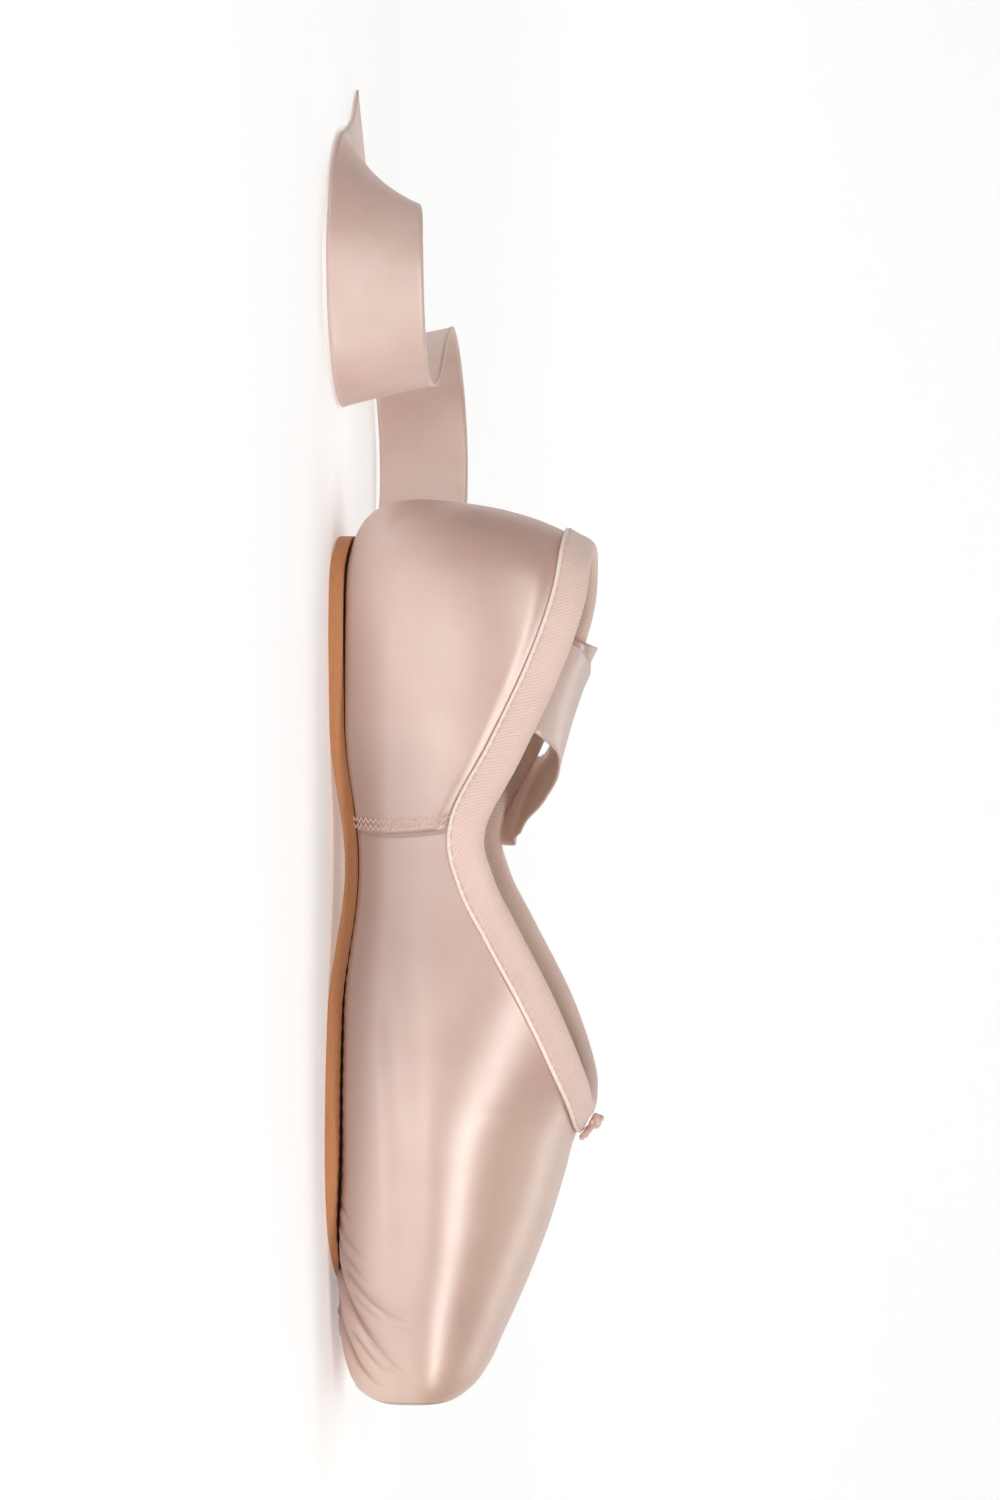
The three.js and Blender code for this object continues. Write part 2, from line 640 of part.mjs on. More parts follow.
// A flat ribbon along its route, its width square to its way.
function ribbonSolid(route) {
  const rows = route.length - 1;
  const column = (name) => route.map((row) => row[name]);
  const at = (u) => new THREE.Vector3(...["x", "y", "z"].map((name) => through(column(name), u)));
  const rings = [];
  for (let i = 0; i <= RIBBON_STEPS; i++) {
    const u = (i / RIBBON_STEPS) * rows;
    const middle = at(u);
    const way = at(Math.min(u + 0.05, rows)).sub(at(Math.max(u - 0.05, 0))).normalize();
    const turn = THREE.MathUtils.degToRad(through(column("turn"), u));
    const lean = THREE.MathUtils.degToRad(through(column("lean"), u));
    const level = Math.cos(lean);
    const across = new THREE.Vector3(level * Math.cos(turn), level * Math.sin(turn), Math.sin(lean));
    across.addScaledVector(way, -across.dot(way)).normalize();
    const up = way.clone().cross(across);
    const corners = [
      [1, -1],
      [0, -1],
      [-1, -1],
      [-1, 1],
      [0, 1],
      [1, 1],
    ];
    rings.push(
      corners.map(([side, face]) =>
        middle
          .clone()
          .addScaledVector(across, (side * RIBBON_WIDTH) / 2)
          .addScaledVector(up, (face * RIBBON_THICKNESS) / 2),
      ),
    );
  }
  // Both faces are split along the same lines, so that they stay apart where the ribbon twists.
  const onUpperFace = (j) => j === 3 || j === 4;
  return solid(loft(rings, [middleOf(rings[0]), middleOf(rings[RIBBON_STEPS])], onUpperFace));
}

// The knot and its two short ends, lying on the casing in the middle of the throat.
function knotSolid() {
  const { along, down } = COLLAR[0];
  const place = ontoLast(COLLAR[0].point.clone().addScaledVector(down, BINDING_WIDTH / 2));
  const out = slopeAt(place).normalize();
  const seat = CASING_GAP + BINDING_THICKNESS + GAP;
  const centre = place.clone().addScaledVector(out, seat + KNOT_HEIGHT / 2);
  const frame = new THREE.Matrix4().makeBasis(along, out.clone().cross(along), out).setPosition(centre);
  const lump = new THREE.SphereGeometry(0.5, 12, 8)
    .scale(KNOT_WIDTH, KNOT_LENGTH, KNOT_HEIGHT)
    .applyMatrix4(frame);
  let knot = solid(lump);
  for (const side of [-1, 1]) {
    const tilt = (side * Math.PI) / 5;
    const end = new THREE.CapsuleGeometry(STRING_THICKNESS / 2, STRING_END, 3, 7)
      .translate(0, -STRING_END / 2, (STRING_THICKNESS - KNOT_HEIGHT) / 4)
      .rotateZ(tilt)
      .applyMatrix4(frame);
    knot = knot.add(solid(end));
  }
  return knot;
}

const SATIN = { color: 0xe6cabf, roughness: 0.42, metalness: 0 };
const CASING = { color: 0xebcfc4, roughness: 0.6, metalness: 0 };
const LEATHER = { color: 0xc08050, roughness: 0.7, metalness: 0 };
const BOARD = { color: 0xd8c4ac, roughness: 0.85, metalness: 0 };

const shoe = new THREE.Group();
shoe.add(meshOf(upperSolid(), "upper", SATIN));
shoe.add(meshOf(outsoleSolid(), "outsole", LEATHER));
shoe.add(meshOf(insoleSolid(), "insole", BOARD));
shoe.add(meshOf(bindingSolid(), "binding", CASING));
shoe.add(meshOf(knotSolid(), "drawstring_knot", CASING));
shoe.add(meshOf(ribbonSolid(NEAR_RIBBON), "ribbon_near", SATIN));
shoe.add(meshOf(ribbonSolid(FAR_RIBBON), "ribbon_far", SATIN));

export default shoe;
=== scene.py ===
"""Satin pointe shoe, standing empty on its leather sole, laid out as a Blender add-on."""

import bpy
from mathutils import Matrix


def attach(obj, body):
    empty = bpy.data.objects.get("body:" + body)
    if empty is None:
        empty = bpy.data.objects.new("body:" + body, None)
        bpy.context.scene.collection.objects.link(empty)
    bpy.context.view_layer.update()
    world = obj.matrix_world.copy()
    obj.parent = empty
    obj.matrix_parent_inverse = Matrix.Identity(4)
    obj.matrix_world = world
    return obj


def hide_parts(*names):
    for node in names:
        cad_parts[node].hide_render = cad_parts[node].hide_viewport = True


bl_info = {
    "name": "Satin pointe shoe",
    "version": (1, 0, 0),
    "blender": (4, 5, 0),
    "location": "3D View > Sidebar > Shoe",
    "description": "Models the satin, casing, ribbons, stitching and leather of a pointe shoe",
    "category": "Object",
}

import math

import bpy
import numpy as np
from mathutils import Matrix, Vector

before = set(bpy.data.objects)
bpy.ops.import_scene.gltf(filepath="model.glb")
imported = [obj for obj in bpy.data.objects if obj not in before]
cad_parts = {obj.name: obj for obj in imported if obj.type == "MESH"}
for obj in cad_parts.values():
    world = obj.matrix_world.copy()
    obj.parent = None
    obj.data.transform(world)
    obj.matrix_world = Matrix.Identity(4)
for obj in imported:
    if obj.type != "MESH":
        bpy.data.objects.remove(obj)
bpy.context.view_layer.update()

# The shoe's own sizes, in millimetres, as its solids have them.
LENGTH = 236
BALL_WIDTH = 78
HEEL_WIDTH = 57
PLATFORM_WIDTH = 46
PLATFORM_HEIGHT = 35
THROAT_HEIGHT = 67
HEEL_HEIGHT = 67
WAIST_HEIGHT = 40
WALL = 1.8
BOX_WALL = 3.2
SEAM_FROM_HEEL = 86
SEAM_STEP = 0.5
SEAM_SLOPE = 0.8
SOLE_THICKNESS = 2.8
SOLE_TIP_THICKNESS = 0.9
SOLE_BALL_WIDTH = 55
SOLE_WAIST_WIDTH = 28.5
SOLE_HEEL_WIDTH = 40
SOLE_BEVEL = 0.8
SOLE_LIP = 1.1
ARCH_RISE = 3.6
TOE_SPRING = 0.7
LASTING_MARGIN = 7.5
INSOLE_THICKNESS = 1.6
BINDING_WIDTH = 8
BINDING_INSIDE = 6
BINDING_THICKNESS = 0.8
RIBBON_WIDTH = 25
KNOT_HEIGHT = 3.2
GAP = 0.3
CASING_GAP = 0.5

# Sizes of what only this scene shows, in millimetres but for the pleats' depth, which is in metres.
PLEAT_DEPTH = 0.0009
TUCK_PITCH = 4.1
SEAM_SAG = 1.4
SEAM_TOP = 33
SOLE_JOINT = 0.12
INSOLE_FROM_HEEL = 4.2
INSOLE_FROM_TOE = 8
RIBBON_CLOTH = 0.42
SELVEDGE = 0.12
SELVEDGE_WIDTH = 0.9
STITCH_LINE = 7.0
ZIGZAG_ROWS = (1.35, 3.15)
ZIGZAG_SWING = 0.62
KNOT_CORD_RADIUS = 0.86
STRING_RADIUS = 0.78
THREAD_RADIUS = 0.2
INSIDE_THREAD_RADIUS = 0.17
ZIGZAG_THREAD_RADIUS = 0.16
# How far the satin goes in at the seam, the tucks, down the back and over the wing of the box, and how
# far its slack swells.
SEAM_GROOVE = 0.35
TUCK_DEPTH = 0.26
BACK_GROOVE = 0.3
WING_DIP = 0.5
SLACK = 0.16
# The casing's roll over its drawstring, the dent along its stitches, its pucker and its turned-in edge.
CASING_ROLL = 0.32
CASING_DENT = 0.16
CASING_PUCKER = 0.1
CASING_TURN_IN = 0.28
# The ribbons' cup and sideways ripple, and the waver and scallops of the sole's cut edge.
RIBBON_CUP = 0.5
RIBBON_RIPPLE = 0.28
SOLE_WAVER = 0.12
SOLE_SCALLOP = 0.14
# Distances between the ribs and threads of the cloths as they are drawn.
RIB_PITCH = 0.8
SATIN_THREAD = 0.4
RIBBON_THREAD = 0.42
COTTON_WEAVE = 0.9
CORD_WEAVE = 0.7
# Points nearer than these are one, in metres: on the large pieces and on the thin cords.
WELD = 2e-5
CORD_WELD = 1e-6

# Sections of the last from heel to toe. at is a share of LENGTH, half of half the named width, and
# lift, crown and belt are shares of the named height. over and under say how square a section is.
COLUMNS = ("at", "half", "lift", "crown", "belt", "over", "under")
HEEL_SECTIONS = [
    (0.0, 0.05, 0.265, 0.345, 0.33, 2.0, 2.0),
    (0.0035, 0.29, 0.17, 0.48, 0.33, 2.0, 2.0),
    (0.013, 0.54, 0.095, 0.67, 0.33, 2.0, 2.1),
    (0.03, 0.73, 0.042, 0.85, 0.32, 2.05, 2.3),
    (0.056, 0.88, 0.01, 1.01, 0.31, 2.1, 2.6),
    (0.095, 0.97, 0.0, 1.16, 0.3, 2.15, 3.0),
    (0.16, 1.0, 0.0, 1.28, 0.29, 2.2, 3.2),
    (0.26, 0.975, 0.0, 1.34, 0.27, 2.2, 3.0),
]
BODY_SECTIONS = [
    (0.365, 0.695, 0.0, 1.34, 0.25, 2.2, 2.8),
    (0.465, 0.74, 0.0, 1.28, 0.245, 2.2, 2.8),
    (0.56, 0.86, 0.0, 1.18, 0.245, 2.2, 3.0),
    (0.636, 0.96, 0.0, 1.07, 0.25, 2.2, 3.2),
    (0.703, 1.0, 0.0, 0.945, 0.26, 2.25, 3.2),
    (0.753, 0.985, 0.0, 0.893, 0.27, 2.3, 3.1),
    (0.812, 0.93, 0.0, 0.828, 0.28, 2.35, 3.0),
    (0.874, 0.85, 0.0, 0.742, 0.29, 2.4, 2.8),
]
TOE_SECTIONS = [
    (0.93, 1.26, 0.006, 1.25, 0.58, 2.5, 2.7),
    (0.956, 1.165, 0.03, 1.17, 0.6, 2.55, 2.7),
    (0.977, 1.065, 0.08, 1.085, 0.61, 2.6, 2.7),
    (0.991, 0.955, 0.165, 0.99, 0.61, 2.7, 2.8),
    (0.998, 0.84, 0.25, 0.91, 0.61, 2.8, 2.9),
    (1.0, 0.73, 0.31, 0.85, 0.61, 2.8, 2.9),
]
# The topline from the side: a share of LENGTH, and a share of the way up from the waist.
TOPLINE = [
    (0.06, 1.0),
    (0.123, 0.93),
    (0.2, 0.7),
    (0.288, 0.34),
    (0.365, 0.0),
    (0.42, 0.08),
    (0.475, 0.32),
    (0.56, 0.7),
    (0.636, 0.95),
    (0.674, 1.0),
]
# The sole's outline: a share of LENGTH, then shares of half the heel, waist and ball widths.
SOLE_OUTLINE = [
    (0.041, 0.06, 0, 0),
    (0.0465, 0.4, 0, 0),
    (0.063, 0.72, 0, 0),
    (0.095, 0.93, 0, 0),
    (0.15, 1.0, 0, 0),
    (0.235, 0.92, 0, 0),
    (0.32, 0.3, 0.66, 0),
    (0.405, 0, 1.0, 0),
    (0.49, 0, 0.6, 0.3),
    (0.57, 0, 0, 0.8),
    (0.635, 0, 0, 0.94),
    (0.7, 0, 0, 1.0),
    (0.755, 0, 0, 0.965),
    (0.805, 0, 0, 0.83),
    (0.84, 0, 0, 0.62),
    (0.861, 0, 0, 0.36),
    (0.869, 0, 0, 0.05),
]
SKIVE_FROM = 0.7
HEEL_FLAT = (0.085, 0.25)
BALL_FLAT = (0.57, 0.8)
BOX_WALL_FROM = 0.62
BOX_WALL_FULL = 0.8

# The way of each ribbon's middle line: x, y, z, and the turn and lean of its width in degrees.
FAR_RIBBON = [
    (-75.5, 22.9, 44.3, 5, -23),
    (-73.0, 21.4, 50.0, 6, -23),
    (-70.9, 20.05, 55.0, 7, -23),
    (-69.0, 20.6, 59.6, 7, -23),
    (-68.0, 24.2, 61.9, 6, -23),
    (-69.1, 28.1, 59.4, 5, -23),
    (-71.2, 29.45, 54.5, 4, -23),
    (-75.6, 31.05, 44.0, 4, -22),
    (-80.6, 33.3, 30.0, 6, -18),
    (-84.0, 37.5, 16.0, 10, -11),
    (-86.0, 46.0, 5.4, 14, -3),
    (-89.0, 57.0, 1.8, 17, 3),
    (-93.5, 70.0, 5.4, 28, 22),
    (-103.0, 82.0, 10.6, 48, 52),
    (-118.0, 90.0, 12.9, 70, 76),
    (-135.0, 91.0, 13.3, 92, 82),
    (-151.0, 84.0, 13.2, 120, 80),
    (-162.0, 70.0, 13.1, 150, 78),
    (-166.0, 52.0, 13.2, 178, 80),
    (-161.0, 35.0, 13.3, 202, 82),
    (-151.0, 20.0, 13.2, 210, 80),
    (-146.0, 3.0, 13.1, 185, 78),
    (-150.0, -14.0, 13.2, 152, 80),
    (-163.0, -26.0, 13.3, 115, 82),
    (-181.0, -28.0, 13.1, 80, 78),
    (-196.0, -19.0, 12.2, 45, 66),
    (-204.0, -3.0, 9.4, 15, 44),
    (-206.0, 15.0, 4.6, 5, 18),
    (-211.0, 32.0, 1.7, 22, 4),
    (-222.0, 46.0, 0.9, 38, 1),
]
NEAR_RIBBON = [
    (-74.2, -23.2, 44.3, -5, -23),
    (-71.5, -21.7, 50.0, -6, -23),
    (-69.4, -20.2, 55.2, -7, -23),
    (-66.4, -16.2, 60.4, -8, -22),
    (-62.0, -9.0, 62.6, -12, -17),
    (-56.0, -0.5, 61.0, -18, -14),
    (-49.8, 8.0, 57.2, -18, -16),
    (-44.4, 16.0, 52.7, -10, -21),
    (-40.2, 22.5, 49.4, -2, -23),
    (-38.6, 27.6, 46.8, 0, -23),
    (-39.2, 30.8, 41.0, 0, -22),
    (-42.2, 32.4, 32.0, 0, -20),
    (-45.8, 35.0, 21.0, 0, -16),
    (-48.8, 41.0, 10.5, 1, -9),
    (-50.8, 51.0, 3.2, 2, -2),
    (-51.5, 63.0, 1.8, 0, 4),
    (-50.0, 77.0, 5.6, -12, 22),
    (-44.0, 91.0, 10.4, -30, 50),
    (-32.5, 102.0, 12.8, -57, 74),
    (-17.0, 107.0, 13.3, -85, 82),
    (1.0, 104.0, 13.3, -115, 82),
    (16.0, 94.0, 13.2, -133, 80),
    (28.5, 80.5, 13.1, -133, 78),
    (43.0, 70.0, 13.2, -113, 80),
    (60.5, 67.0, 13.3, -85, 82),
    (77.0, 72.5, 13.2, -58, 80),
    (90.0, 84.5, 13.2, -30, 80),
    (94.0, 101.5, 13.1, 12, 78),
    (85.5, 116.5, 12.2, 50, 66),
    (69.5, 123.0, 9.4, 82, 44),
    (52.0, 121.0, 4.6, 103, 18),
    (36.0, 114.0, 1.7, 115, 4),
    (21.0, 105.0, 0.9, 122, 1),
]


# The last as functions
def through(values, u):
    """A smooth curve through values, at the fractional index u."""
    values = np.asarray(values, float)
    u = np.asarray(u, float)
    last = len(values) - 1
    i = np.clip(np.floor(u).astype(int), 0, last - 1)
    f = u - i
    b, c = values[i], values[i + 1]
    a = np.where(i > 0, values[np.maximum(i - 1, 0)], 2 * b - c)
    d = np.where(i + 2 <= last, values[np.minimum(i + 2, last)], 2 * c - b)
    return b + 0.5 * f * (c - a + f * (2 * a - 5 * b + 4 * c - d + f * (3 * b - a - 3 * c + d)))


def smooth(low, high, x):
    """Rises softly from 0 at low to 1 at high."""
    t = np.clip((np.asarray(x, float) - low) / (high - low), 0, 1)
    return t * t * (3 - 2 * t)


def mix(a, b, t):
    return a + (b - a) * t


def last_columns():
    """The last's sections in millimetres, a list of values for each column."""
    columns = {name: [] for name in COLUMNS}
    groups = (
        (HEEL_SECTIONS, HEEL_WIDTH, HEEL_HEIGHT),
        (BODY_SECTIONS, BALL_WIDTH, THROAT_HEIGHT),
        (TOE_SECTIONS, PLATFORM_WIDTH, PLATFORM_HEIGHT),
    )
    for sections, width, height in groups:
        scale = (LENGTH, width / 2, height, height, height, 1, 1)
        for row in sections:
            for name, value, factor in zip(COLUMNS, row, scale):
                columns[name].append(value * factor)
    return {name: np.array(values) for name, values in columns.items()}


LAST = last_columns()
ROWS = len(LAST["at"]) - 1
FINE_U = np.linspace(0, ROWS, 20001)
FINE_S = np.maximum.accumulate(through(LAST["at"], FINE_U))
SOLE = np.array(SOLE_OUTLINE, float)
SOLE_AT = SOLE[:, 0] * LENGTH
SOLE_HALF = SOLE[:, 1:] @ np.array([SOLE_HEEL_WIDTH, SOLE_WAIST_WIDTH, SOLE_BALL_WIDTH]) / 2
TOPLINE_AT = np.array([at * LENGTH for at, up in TOPLINE])
TOPLINE_Z = np.array(
    [
        mix(WAIST_HEIGHT, HEEL_HEIGHT if at * LENGTH < SEAM_FROM_HEEL else THROAT_HEIGHT, up)
        for at, up in TOPLINE
    ]
)
TOPLINE_U = np.linspace(0, len(TOPLINE) - 1, 4001)
TOPLINE_S = through(TOPLINE_AT, TOPLINE_U)


def sole_underside(s):
    """Height of the sole's lower face, with its arch and the rise of its two ends."""
    share = np.asarray(s, float) / LENGTH
    arch = np.clip((share - HEEL_FLAT[1]) / (BALL_FLAT[0] - HEEL_FLAT[1]), 0, 1)
    tip = smooth(BALL_FLAT[1], SOLE[-1, 0], share)
    heel = 1 - smooth(SOLE[0, 0], HEEL_FLAT[0], share)
    return ARCH_RISE * np.sin(math.pi * arch) ** 2 + TOE_SPRING * (tip + heel)


def sole_seat(s):
    """Height of the sole's upper face in the middle, where the upper sits on it."""
    skived = smooth(SKIVE_FROM, SOLE[-1, 0], np.asarray(s, float) / LENGTH)
    return sole_underside(s) + mix(SOLE_THICKNESS, SOLE_TIP_THICKNESS, skived)


def section_at(s):
    """The section of the last at a distance s from the heel."""
    u = np.interp(s, FINE_S, FINE_U)
    found = {name: through(LAST[name], u) for name in COLUMNS[1:]}
    found["floor"] = sole_seat(s) + GAP + np.maximum(0, found["lift"])
    return found


def wall_at(s):
    """Thickness of the upper, which grows over the box."""
    return mix(WALL, BOX_WALL, smooth(BOX_WALL_FROM, BOX_WALL_FULL, np.asarray(s) / LENGTH))


def topline_height(s):
    """How high the topline is at a distance s from the heel."""
    u = np.interp(np.clip(s, TOPLINE_AT[0], TOPLINE_AT[-1]), TOPLINE_S, TOPLINE_U)
    return through(TOPLINE_Z, u)


def outside(p):
    """Below 0 inside the last above its belt, 0 on it and over 0 outside. p is (n, 3)."""
    s = np.clip(p[:, 0] + LENGTH / 2, 0, LENGTH)
    c = section_at(s)
    high = np.maximum(p[:, 2] - c["belt"], 0) / (c["crown"] - c["belt"])
    value = (np.abs(p[:, 1]) / c["half"]) ** c["over"] + high ** c["over"] - 1
    return np.where((s <= 0) | (s >= LENGTH), 1.0, value)


def slope_at(p):
    """How fast outside() grows at each point along X, Y and Z: the way out of the last."""
    step = 0.05
    slopes = []
    for axis in range(3):
        way = np.zeros(3)
        way[axis] = step
        slopes.append((outside(p + way) - outside(p - way)) / (2 * step))
    return np.stack(slopes, axis=1)


def unit(v):
    return v / np.maximum(np.linalg.norm(v, axis=-1, keepdims=True), 1e-9)


def run_along(line):
    """How far along a line each of its points is."""
    return np.concatenate([[0], np.cumsum(np.linalg.norm(np.diff(line, axis=0), axis=1))])


def run_around(rings):
    """How far round its own ring each point of a loft is."""
    steps = np.linalg.norm(np.diff(rings, axis=1), axis=2)
    return np.concatenate([np.zeros((len(rings), 1)), np.cumsum(steps, axis=1)], 1)


def onto_last(p):
    """The points brought straight onto the last's surface."""
    for _ in range(6):
        slope = slope_at(p)
        p = p - slope * (outside(p) / np.maximum((slope**2).sum(1), 1e-9))[:, None]
    return p


def collar_edge(steps):
    """The collar's edge in even steps: points, directions, outward normals and the way down."""
    angle = np.arange(1440) / 1440 * 2 * math.pi
    middle = SEAM_FROM_HEEL - LENGTH / 2
    near, far = np.zeros(1440), np.full(1440, LENGTH / 2)
    for _ in range(36):
        reach = (near + far) / 2
        x = middle + reach * np.cos(angle)
        p = np.stack([x, reach * np.sin(angle), topline_height(x + LENGTH / 2)], 1)
        inside = outside(p) < 0
        near, far = np.where(inside, reach, near), np.where(inside, far, reach)
    x = middle + near * np.cos(angle)
    p = np.stack([x, near * np.sin(angle), topline_height(x + LENGTH / 2)], 1)
    p = np.concatenate([p, p[:1]])
    run = run_along(p)
    wanted = np.arange(steps) / steps * run[-1]
    point = np.stack([np.interp(wanted, run, p[:, k]) for k in range(3)], 1)
    for _ in range(3):
        point = (np.roll(point, 1, 0) + 2 * point + np.roll(point, -1, 0)) / 4
    along = unit(np.roll(point, -1, 0) - np.roll(point, 1, 0))
    out = unit(slope_at(point))
    down = unit(np.cross(along, out))
    return point, along, out, down, run[-1]


# Making meshes
def deselect_all():
    if bpy.context.object and bpy.context.object.mode != "OBJECT":
        bpy.ops.object.mode_set(mode="OBJECT")
    bpy.ops.object.select_all(action="DESELECT")


def pick(obj):
    """Selects one piece alone and makes it the active one."""
    deselect_all()
    bpy.context.view_layer.objects.active = obj
    obj.select_set(True)


def edit(obj, *steps):
    """Runs edit-mode operators on a whole piece, each step a function."""
    pick(obj)
    bpy.ops.object.mode_set(mode="EDIT")
    bpy.ops.mesh.select_all(action="SELECT")
    for step in steps:
        step()
    bpy.ops.object.mode_set(mode="OBJECT")


def seal(obj, weld=WELD):
    """Merges a loft's meeting edges, fills its two ends and turns its faces outwards."""
    edit(
        obj,
        lambda: bpy.ops.mesh.remove_doubles(threshold=weld),
        lambda: bpy.ops.mesh.select_all(action="DESELECT"),
        lambda: bpy.ops.mesh.select_non_manifold(),
        lambda: bpy.ops.mesh.fill_holes(sides=0),
        lambda: bpy.ops.mesh.select_all(action="SELECT"),
        lambda: bpy.ops.mesh.normals_make_consistent(inside=False),
    )


def laid_grid(name, places, long, around):
    """A grid primitive whose rows and columns are laid where places says, in millimetres. Its UV map
    holds how far along and around the piece each point is."""
    rows, cols = places.shape[:2]
    deselect_all()
    bpy.ops.mesh.primitive_grid_add(x_subdivisions=cols - 1, y_subdivisions=rows - 1, size=1)
    obj = bpy.context.object
    obj.name = obj.data.name = name
    mesh = obj.data
    if len(mesh.vertices) != rows * cols:
        raise RuntimeError(f"{name}: the grid has {len(mesh.vertices)} points, not {rows * cols}")
    mesh.vertices.foreach_set("co", (places.reshape(-1, 3) / 1000).ravel())
    corners = np.empty(len(mesh.loops), np.int64)
    mesh.loops.foreach_get("vertex_index", corners)
    uv = np.stack(np.broadcast_arrays(long[:, None], around), 2)
    mesh.uv_layers[0].data.foreach_set("uv", (uv.reshape(-1, 2) / 1000)[corners].ravel())
    mesh.update()
    bpy.ops.object.shade_smooth()
    return obj


def tint(obj, name, values):
    """Keeps one number for each point of a piece, for its material to read."""
    layer = obj.data.attributes.new(name, "FLOAT", "POINT")
    layer.data.foreach_set("value", np.asarray(values, np.float32).ravel())


def apply(obj, kind, **settings):
    """Adds a modifier to a piece and applies it."""
    pick(obj)
    made = obj.modifiers.new(kind.title(), kind)
    for name, value in settings.items():
        setattr(made, name, value)
    bpy.ops.object.modifier_apply(modifier=made.name)


def joined(name, objects):
    """Joins several meshes into one piece."""
    deselect_all()
    for obj in objects:
        obj.select_set(True)
    bpy.context.view_layer.objects.active = objects[0]
    bpy.ops.object.join()
    obj = bpy.context.object
    obj.name = obj.data.name = name
    return obj


def settle(obj, material, slot, *nodes):
    """Gives a finished piece its body and its material, and says which solids it replaces. The slot
    argument is not used."""
    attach(obj, "root")
    obj.data.materials.clear()
    for one in material if isinstance(material, list) else [material]:
        obj.data.materials.append(one)
    if nodes:
        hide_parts(*nodes)
    return obj


# Making materials
def linear(colour):
    """An sRGB hex colour such as "E6CABF" as linear RGBA."""
    parts = [int(colour[i : i + 2], 16) / 255 for i in (0, 2, 4)]
    return [c / 12.92 if c <= 0.04045 else ((c + 0.055) / 1.055) ** 2.4 for c in parts] + [1.0]


def add(tree, kind, sockets=None, stops=None, **settings):
    """Adds a node with its settings, its ramp's stops, and values or links for its sockets."""
    node = tree.nodes.new(kind)
    for name, value in settings.items():
        setattr(node, name, value)
    if stops:
        while len(node.color_ramp.elements) < len(stops):
            node.color_ramp.elements.new(0.5)
        for element, (place, colour) in zip(node.color_ramp.elements, stops):
            element.position = place
            element.color = colour
    for key, value in (sockets or {}).items():
        if isinstance(value, bpy.types.NodeSocket):
            tree.links.new(value, node.inputs[key])
        else:
            node.inputs[key].default_value = value
    return node


def new_material(name):
    """An empty material, and the tree that its nodes go in."""
    material = bpy.data.materials.new(name)
    material.use_nodes = True
    material.node_tree.nodes.clear()
    return material, material.node_tree


def satin_material(name, base, deep, roughness, sheen, thread_mm, glow=0.0):
    """Woven satin: long floats along the piece give a soft stretched gloss with fine thread lines,
    and slubs and pressing leave faint cloudy patches."""
    material, tree = new_material(name)
    uv = add(tree, "ShaderNodeUVMap", uv_map="UVMap")
    place = add(tree, "ShaderNodeTexCoord")
    # One float of the weave is thread_mm wide and about 40 times as long. Real ones are about 0.15 mm
    # wide, and are drawn coarser here so that they show.
    threads = add(
        tree,
        "ShaderNodeMapping",
        {"Vector": uv.outputs["UV"], "Scale": (1000 / thread_mm / 40, 1000 / thread_mm, 1)},
    )
    float_lines = add(
        tree,
        "ShaderNodeTexNoise",
        {"Vector": threads.outputs["Vector"], "Scale": 1.0, "Detail": 2.0, "Roughness": 0.6},
    )
    # Cloudy patches about 25 mm across, and smaller ones of 5 mm.
    clouds = add(
        tree,
        "ShaderNodeTexNoise",
        {"Vector": place.outputs["Object"], "Scale": 38.0, "Detail": 3.0, "Roughness": 0.55},
    )
    small = add(
        tree,
        "ShaderNodeTexNoise",
        {"Vector": place.outputs["Object"], "Scale": 190.0, "Detail": 2.0, "Roughness": 0.5},
    )
    tone = add(
        tree,
        "ShaderNodeValToRGB",
        {"Fac": clouds.outputs["Fac"]},
        stops=[(0.36, linear(deep)), (0.62, linear(base))],
    )
    # The crown and toe are a warmer tan, painted shade darkens the folds and the lower side, and painted
    # brown shade fills the joint with the sole.
    colour = tone.outputs["Color"]
    for layer, most, shown in (("warm", 0.6, "DEBCA5"), ("shade", 1.0, "8A5A48"), ("joint", 1.0, "8E5A3E")):
        part = add(tree, "ShaderNodeAttribute", attribute_name=layer, attribute_type="GEOMETRY")
        share = add(tree, "ShaderNodeMath", {0: part.outputs["Fac"], 1: most}, operation="MULTIPLY")
        sockets = {0: share.outputs[0], 6: colour, 7: linear(shown)}
        colour = add(tree, "ShaderNodeMix", sockets, data_type="RGBA").outputs[2]
    lined = add(
        tree,
        "ShaderNodeMix",
        {0: 0.06, 6: colour, 7: float_lines.outputs["Color"]},
        data_type="RGBA",
        blend_type="SOFT_LIGHT",
    )
    gloss = add(
        tree,
        "ShaderNodeMapRange",
        {"Value": small.outputs["Fac"], "To Min": roughness - 0.03, "To Max": roughness + 0.06},
    )
    fine = add(
        tree,
        "ShaderNodeBump",
        {"Height": float_lines.outputs["Fac"], "Strength": 0.03, "Distance": 0.0002},
    )
    soft = add(
        tree,
        "ShaderNodeBump",
        {
            "Height": small.outputs["Fac"],
            "Strength": 0.05,
            "Distance": 0.0006,
            "Normal": fine.outputs["Normal"],
        },
    )
    shader = add(
        tree,
        "ShaderNodeBsdfPrincipled",
        {
            "Base Color": lined.outputs[2],
            "Roughness": gloss.outputs["Result"],
            "Normal": soft.outputs["Normal"],
            "IOR": 1.95,
            "Sheen Weight": sheen,
            "Sheen Roughness": 0.35,
            "Sheen Tint": linear("FFE9E0"),
            "Anisotropic": 0.35,
            "Specular IOR Level": 1.0,
        },
    )
    # A single layer, such as a ribbon, lets some light through.
    through_cloth = add(
        tree,
        "ShaderNodeBsdfTranslucent",
        {"Color": lined.outputs[2], "Normal": soft.outputs["Normal"]},
    )
    cloth = add(
        tree,
        "ShaderNodeMixShader",
        {0: glow, 1: shader.outputs["BSDF"], 2: through_cloth.outputs["BSDF"]},
    )
    add(tree, "ShaderNodeOutputMaterial", {"Surface": cloth.outputs[0]})
    return material


